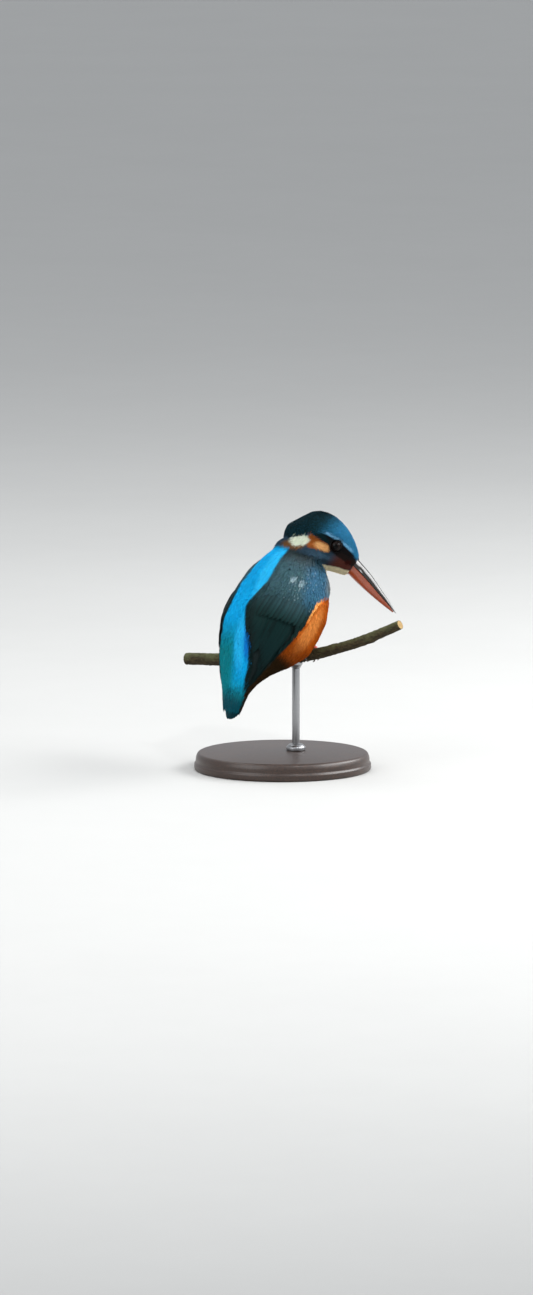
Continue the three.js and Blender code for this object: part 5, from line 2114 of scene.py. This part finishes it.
class KINGFISHER_OT_stage(bpy.types.Operator):
    """Set the floor, the lights and the camera"""

    bl_idname = "kingfisher.stage"
    bl_label = "Stage"

    def execute(self, context):
        looks = context.scene.kingfisher_stage
        camera = bpy.data.cameras.new("camera")
        holder = added("camera", camera)
        context.scene.camera = holder
        a, e = looks.azimuth, looks.elevation
        back = Vector((math.sin(a) * math.cos(e), -math.cos(a) * math.cos(e), math.sin(e)))
        right = Vector((math.cos(a), math.sin(a), 0))
        up = back.cross(right)
        # The branch's middle sits a little right of the view's centre and just under it.
        aim = PERCH_MIDDLE.translation + right * VIEW_SHIFT[0] + up * VIEW_SHIFT[1]
        holder.location = aim + back * looks.distance
        holder.rotation_mode = "QUATERNION"
        holder.rotation_quaternion = back.to_track_quat("Z", "Y")
        camera.lens = camera.sensor_width * looks.distance / looks.frame_height
        camera.clip_end = 100
        context.scene.view_settings.view_transform = "Standard"
        floor_stage(looks)
        lights(aim, right, up, back)
        return {"FINISHED"}


def floor_stage(looks):
    """A pale floor."""
    half = 6.0
    corners = [(-half, -half, 0), (half, -half, 0), (half, half, 0), (-half, half, 0)]
    mesh = bpy.data.meshes.new("floor")
    mesh.from_pydata(corners, [], [(0, 1, 2, 3)])
    floor = added("floor", mesh)
    matt = {"Roughness": 0.8}
    finish = mottled_material("Floor", looks.floor, 0.94, matt, 6.0, 0.5, (0.4, 0.0))
    mesh.materials.append(finish)


def lights(aim, right, up, back):
    """A long soft key, a fill, a small catch light for the eye and a top light, in a pale world."""
    world = bpy.data.worlds.new("studio")
    world.use_nodes = True
    background = world.node_tree.nodes["Background"].inputs
    background[0].default_value = (0.85, 0.88, 0.92, 1)
    background[1].default_value = 0.75
    bpy.context.scene.world = world
    for name, place, size, power in (
        ("key", right * 0.98 + up * 0.68 + back * 0.05, (1.4, 0.5), 21.0),
        ("fill", right * -0.9 + up * 0.7 + back * 0.9, (1.1, 1.1), 10.0),
        ("catch", right * 0.35 + up * 0.75 + back * 0.9, (0.05, 0.05), 2.5),
        ("top", right * -0.2 + up * 1.2 - back * 0.2, (0.8, 0.8), 6.0),
    ):
        lamp = bpy.data.lights.new(name, "AREA")
        lamp.shape = "RECTANGLE"
        lamp.size, lamp.size_y = size
        lamp.energy = power
        holder = added(name, lamp)
        out = place.normalized()
        across = (back - out * back.dot(out)).normalized()
        facing = Matrix((across, out.cross(across), out)).transposed()
        holder.location = aim + place
        holder.rotation_mode = "QUATERNION"
        holder.rotation_quaternion = facing.to_quaternion()


# ---- Panel and registering ----

OPERATORS = (
    KINGFISHER_OT_skin,
    KINGFISHER_OT_coat,
    KINGFISHER_OT_wings,
    KINGFISHER_OT_tail,
    KINGFISHER_OT_eyes,
    KINGFISHER_OT_bill,
    KINGFISHER_OT_feet,
    KINGFISHER_OT_perch,
    KINGFISHER_OT_stand,
    KINGFISHER_OT_stage,
)


class KINGFISHER_PT_panel(bpy.types.Panel):
    """Lists the pieces in the order in which they are made"""

    bl_idname = "KINGFISHER_PT_panel"
    bl_label = "Perched kingfisher"
    bl_space_type = "VIEW_3D"
    bl_region_type = "UI"
    bl_category = "Kingfisher"

    def draw(self, context):
        for operator in OPERATORS:
            self.layout.operator(operator.bl_idname)


SETTINGS = {
    "kingfisher_plumage": PlumageSettings,
    "kingfisher_bare": BareSettings,
    "kingfisher_perch": PerchSettings,
    "kingfisher_stand": StandSettings,
    "kingfisher_stage": StageSettings,
}


def register():
    for made in (*SETTINGS.values(), *OPERATORS, KINGFISHER_PT_panel):
        bpy.utils.register_class(made)
    for name, group in SETTINGS.items():
        setattr(bpy.types.Scene, name, PointerProperty(type=group))


def unregister():
    for name in SETTINGS:
        delattr(bpy.types.Scene, name)
    for made in (KINGFISHER_PT_panel, *reversed(OPERATORS), *SETTINGS.values()):
        bpy.utils.unregister_class(made)


def main():
    register()
    for operator in OPERATORS:
        group, name = operator.bl_idname.split(".")
        getattr(getattr(bpy.ops, group), name)()


if __name__ == "__main__":
    main()
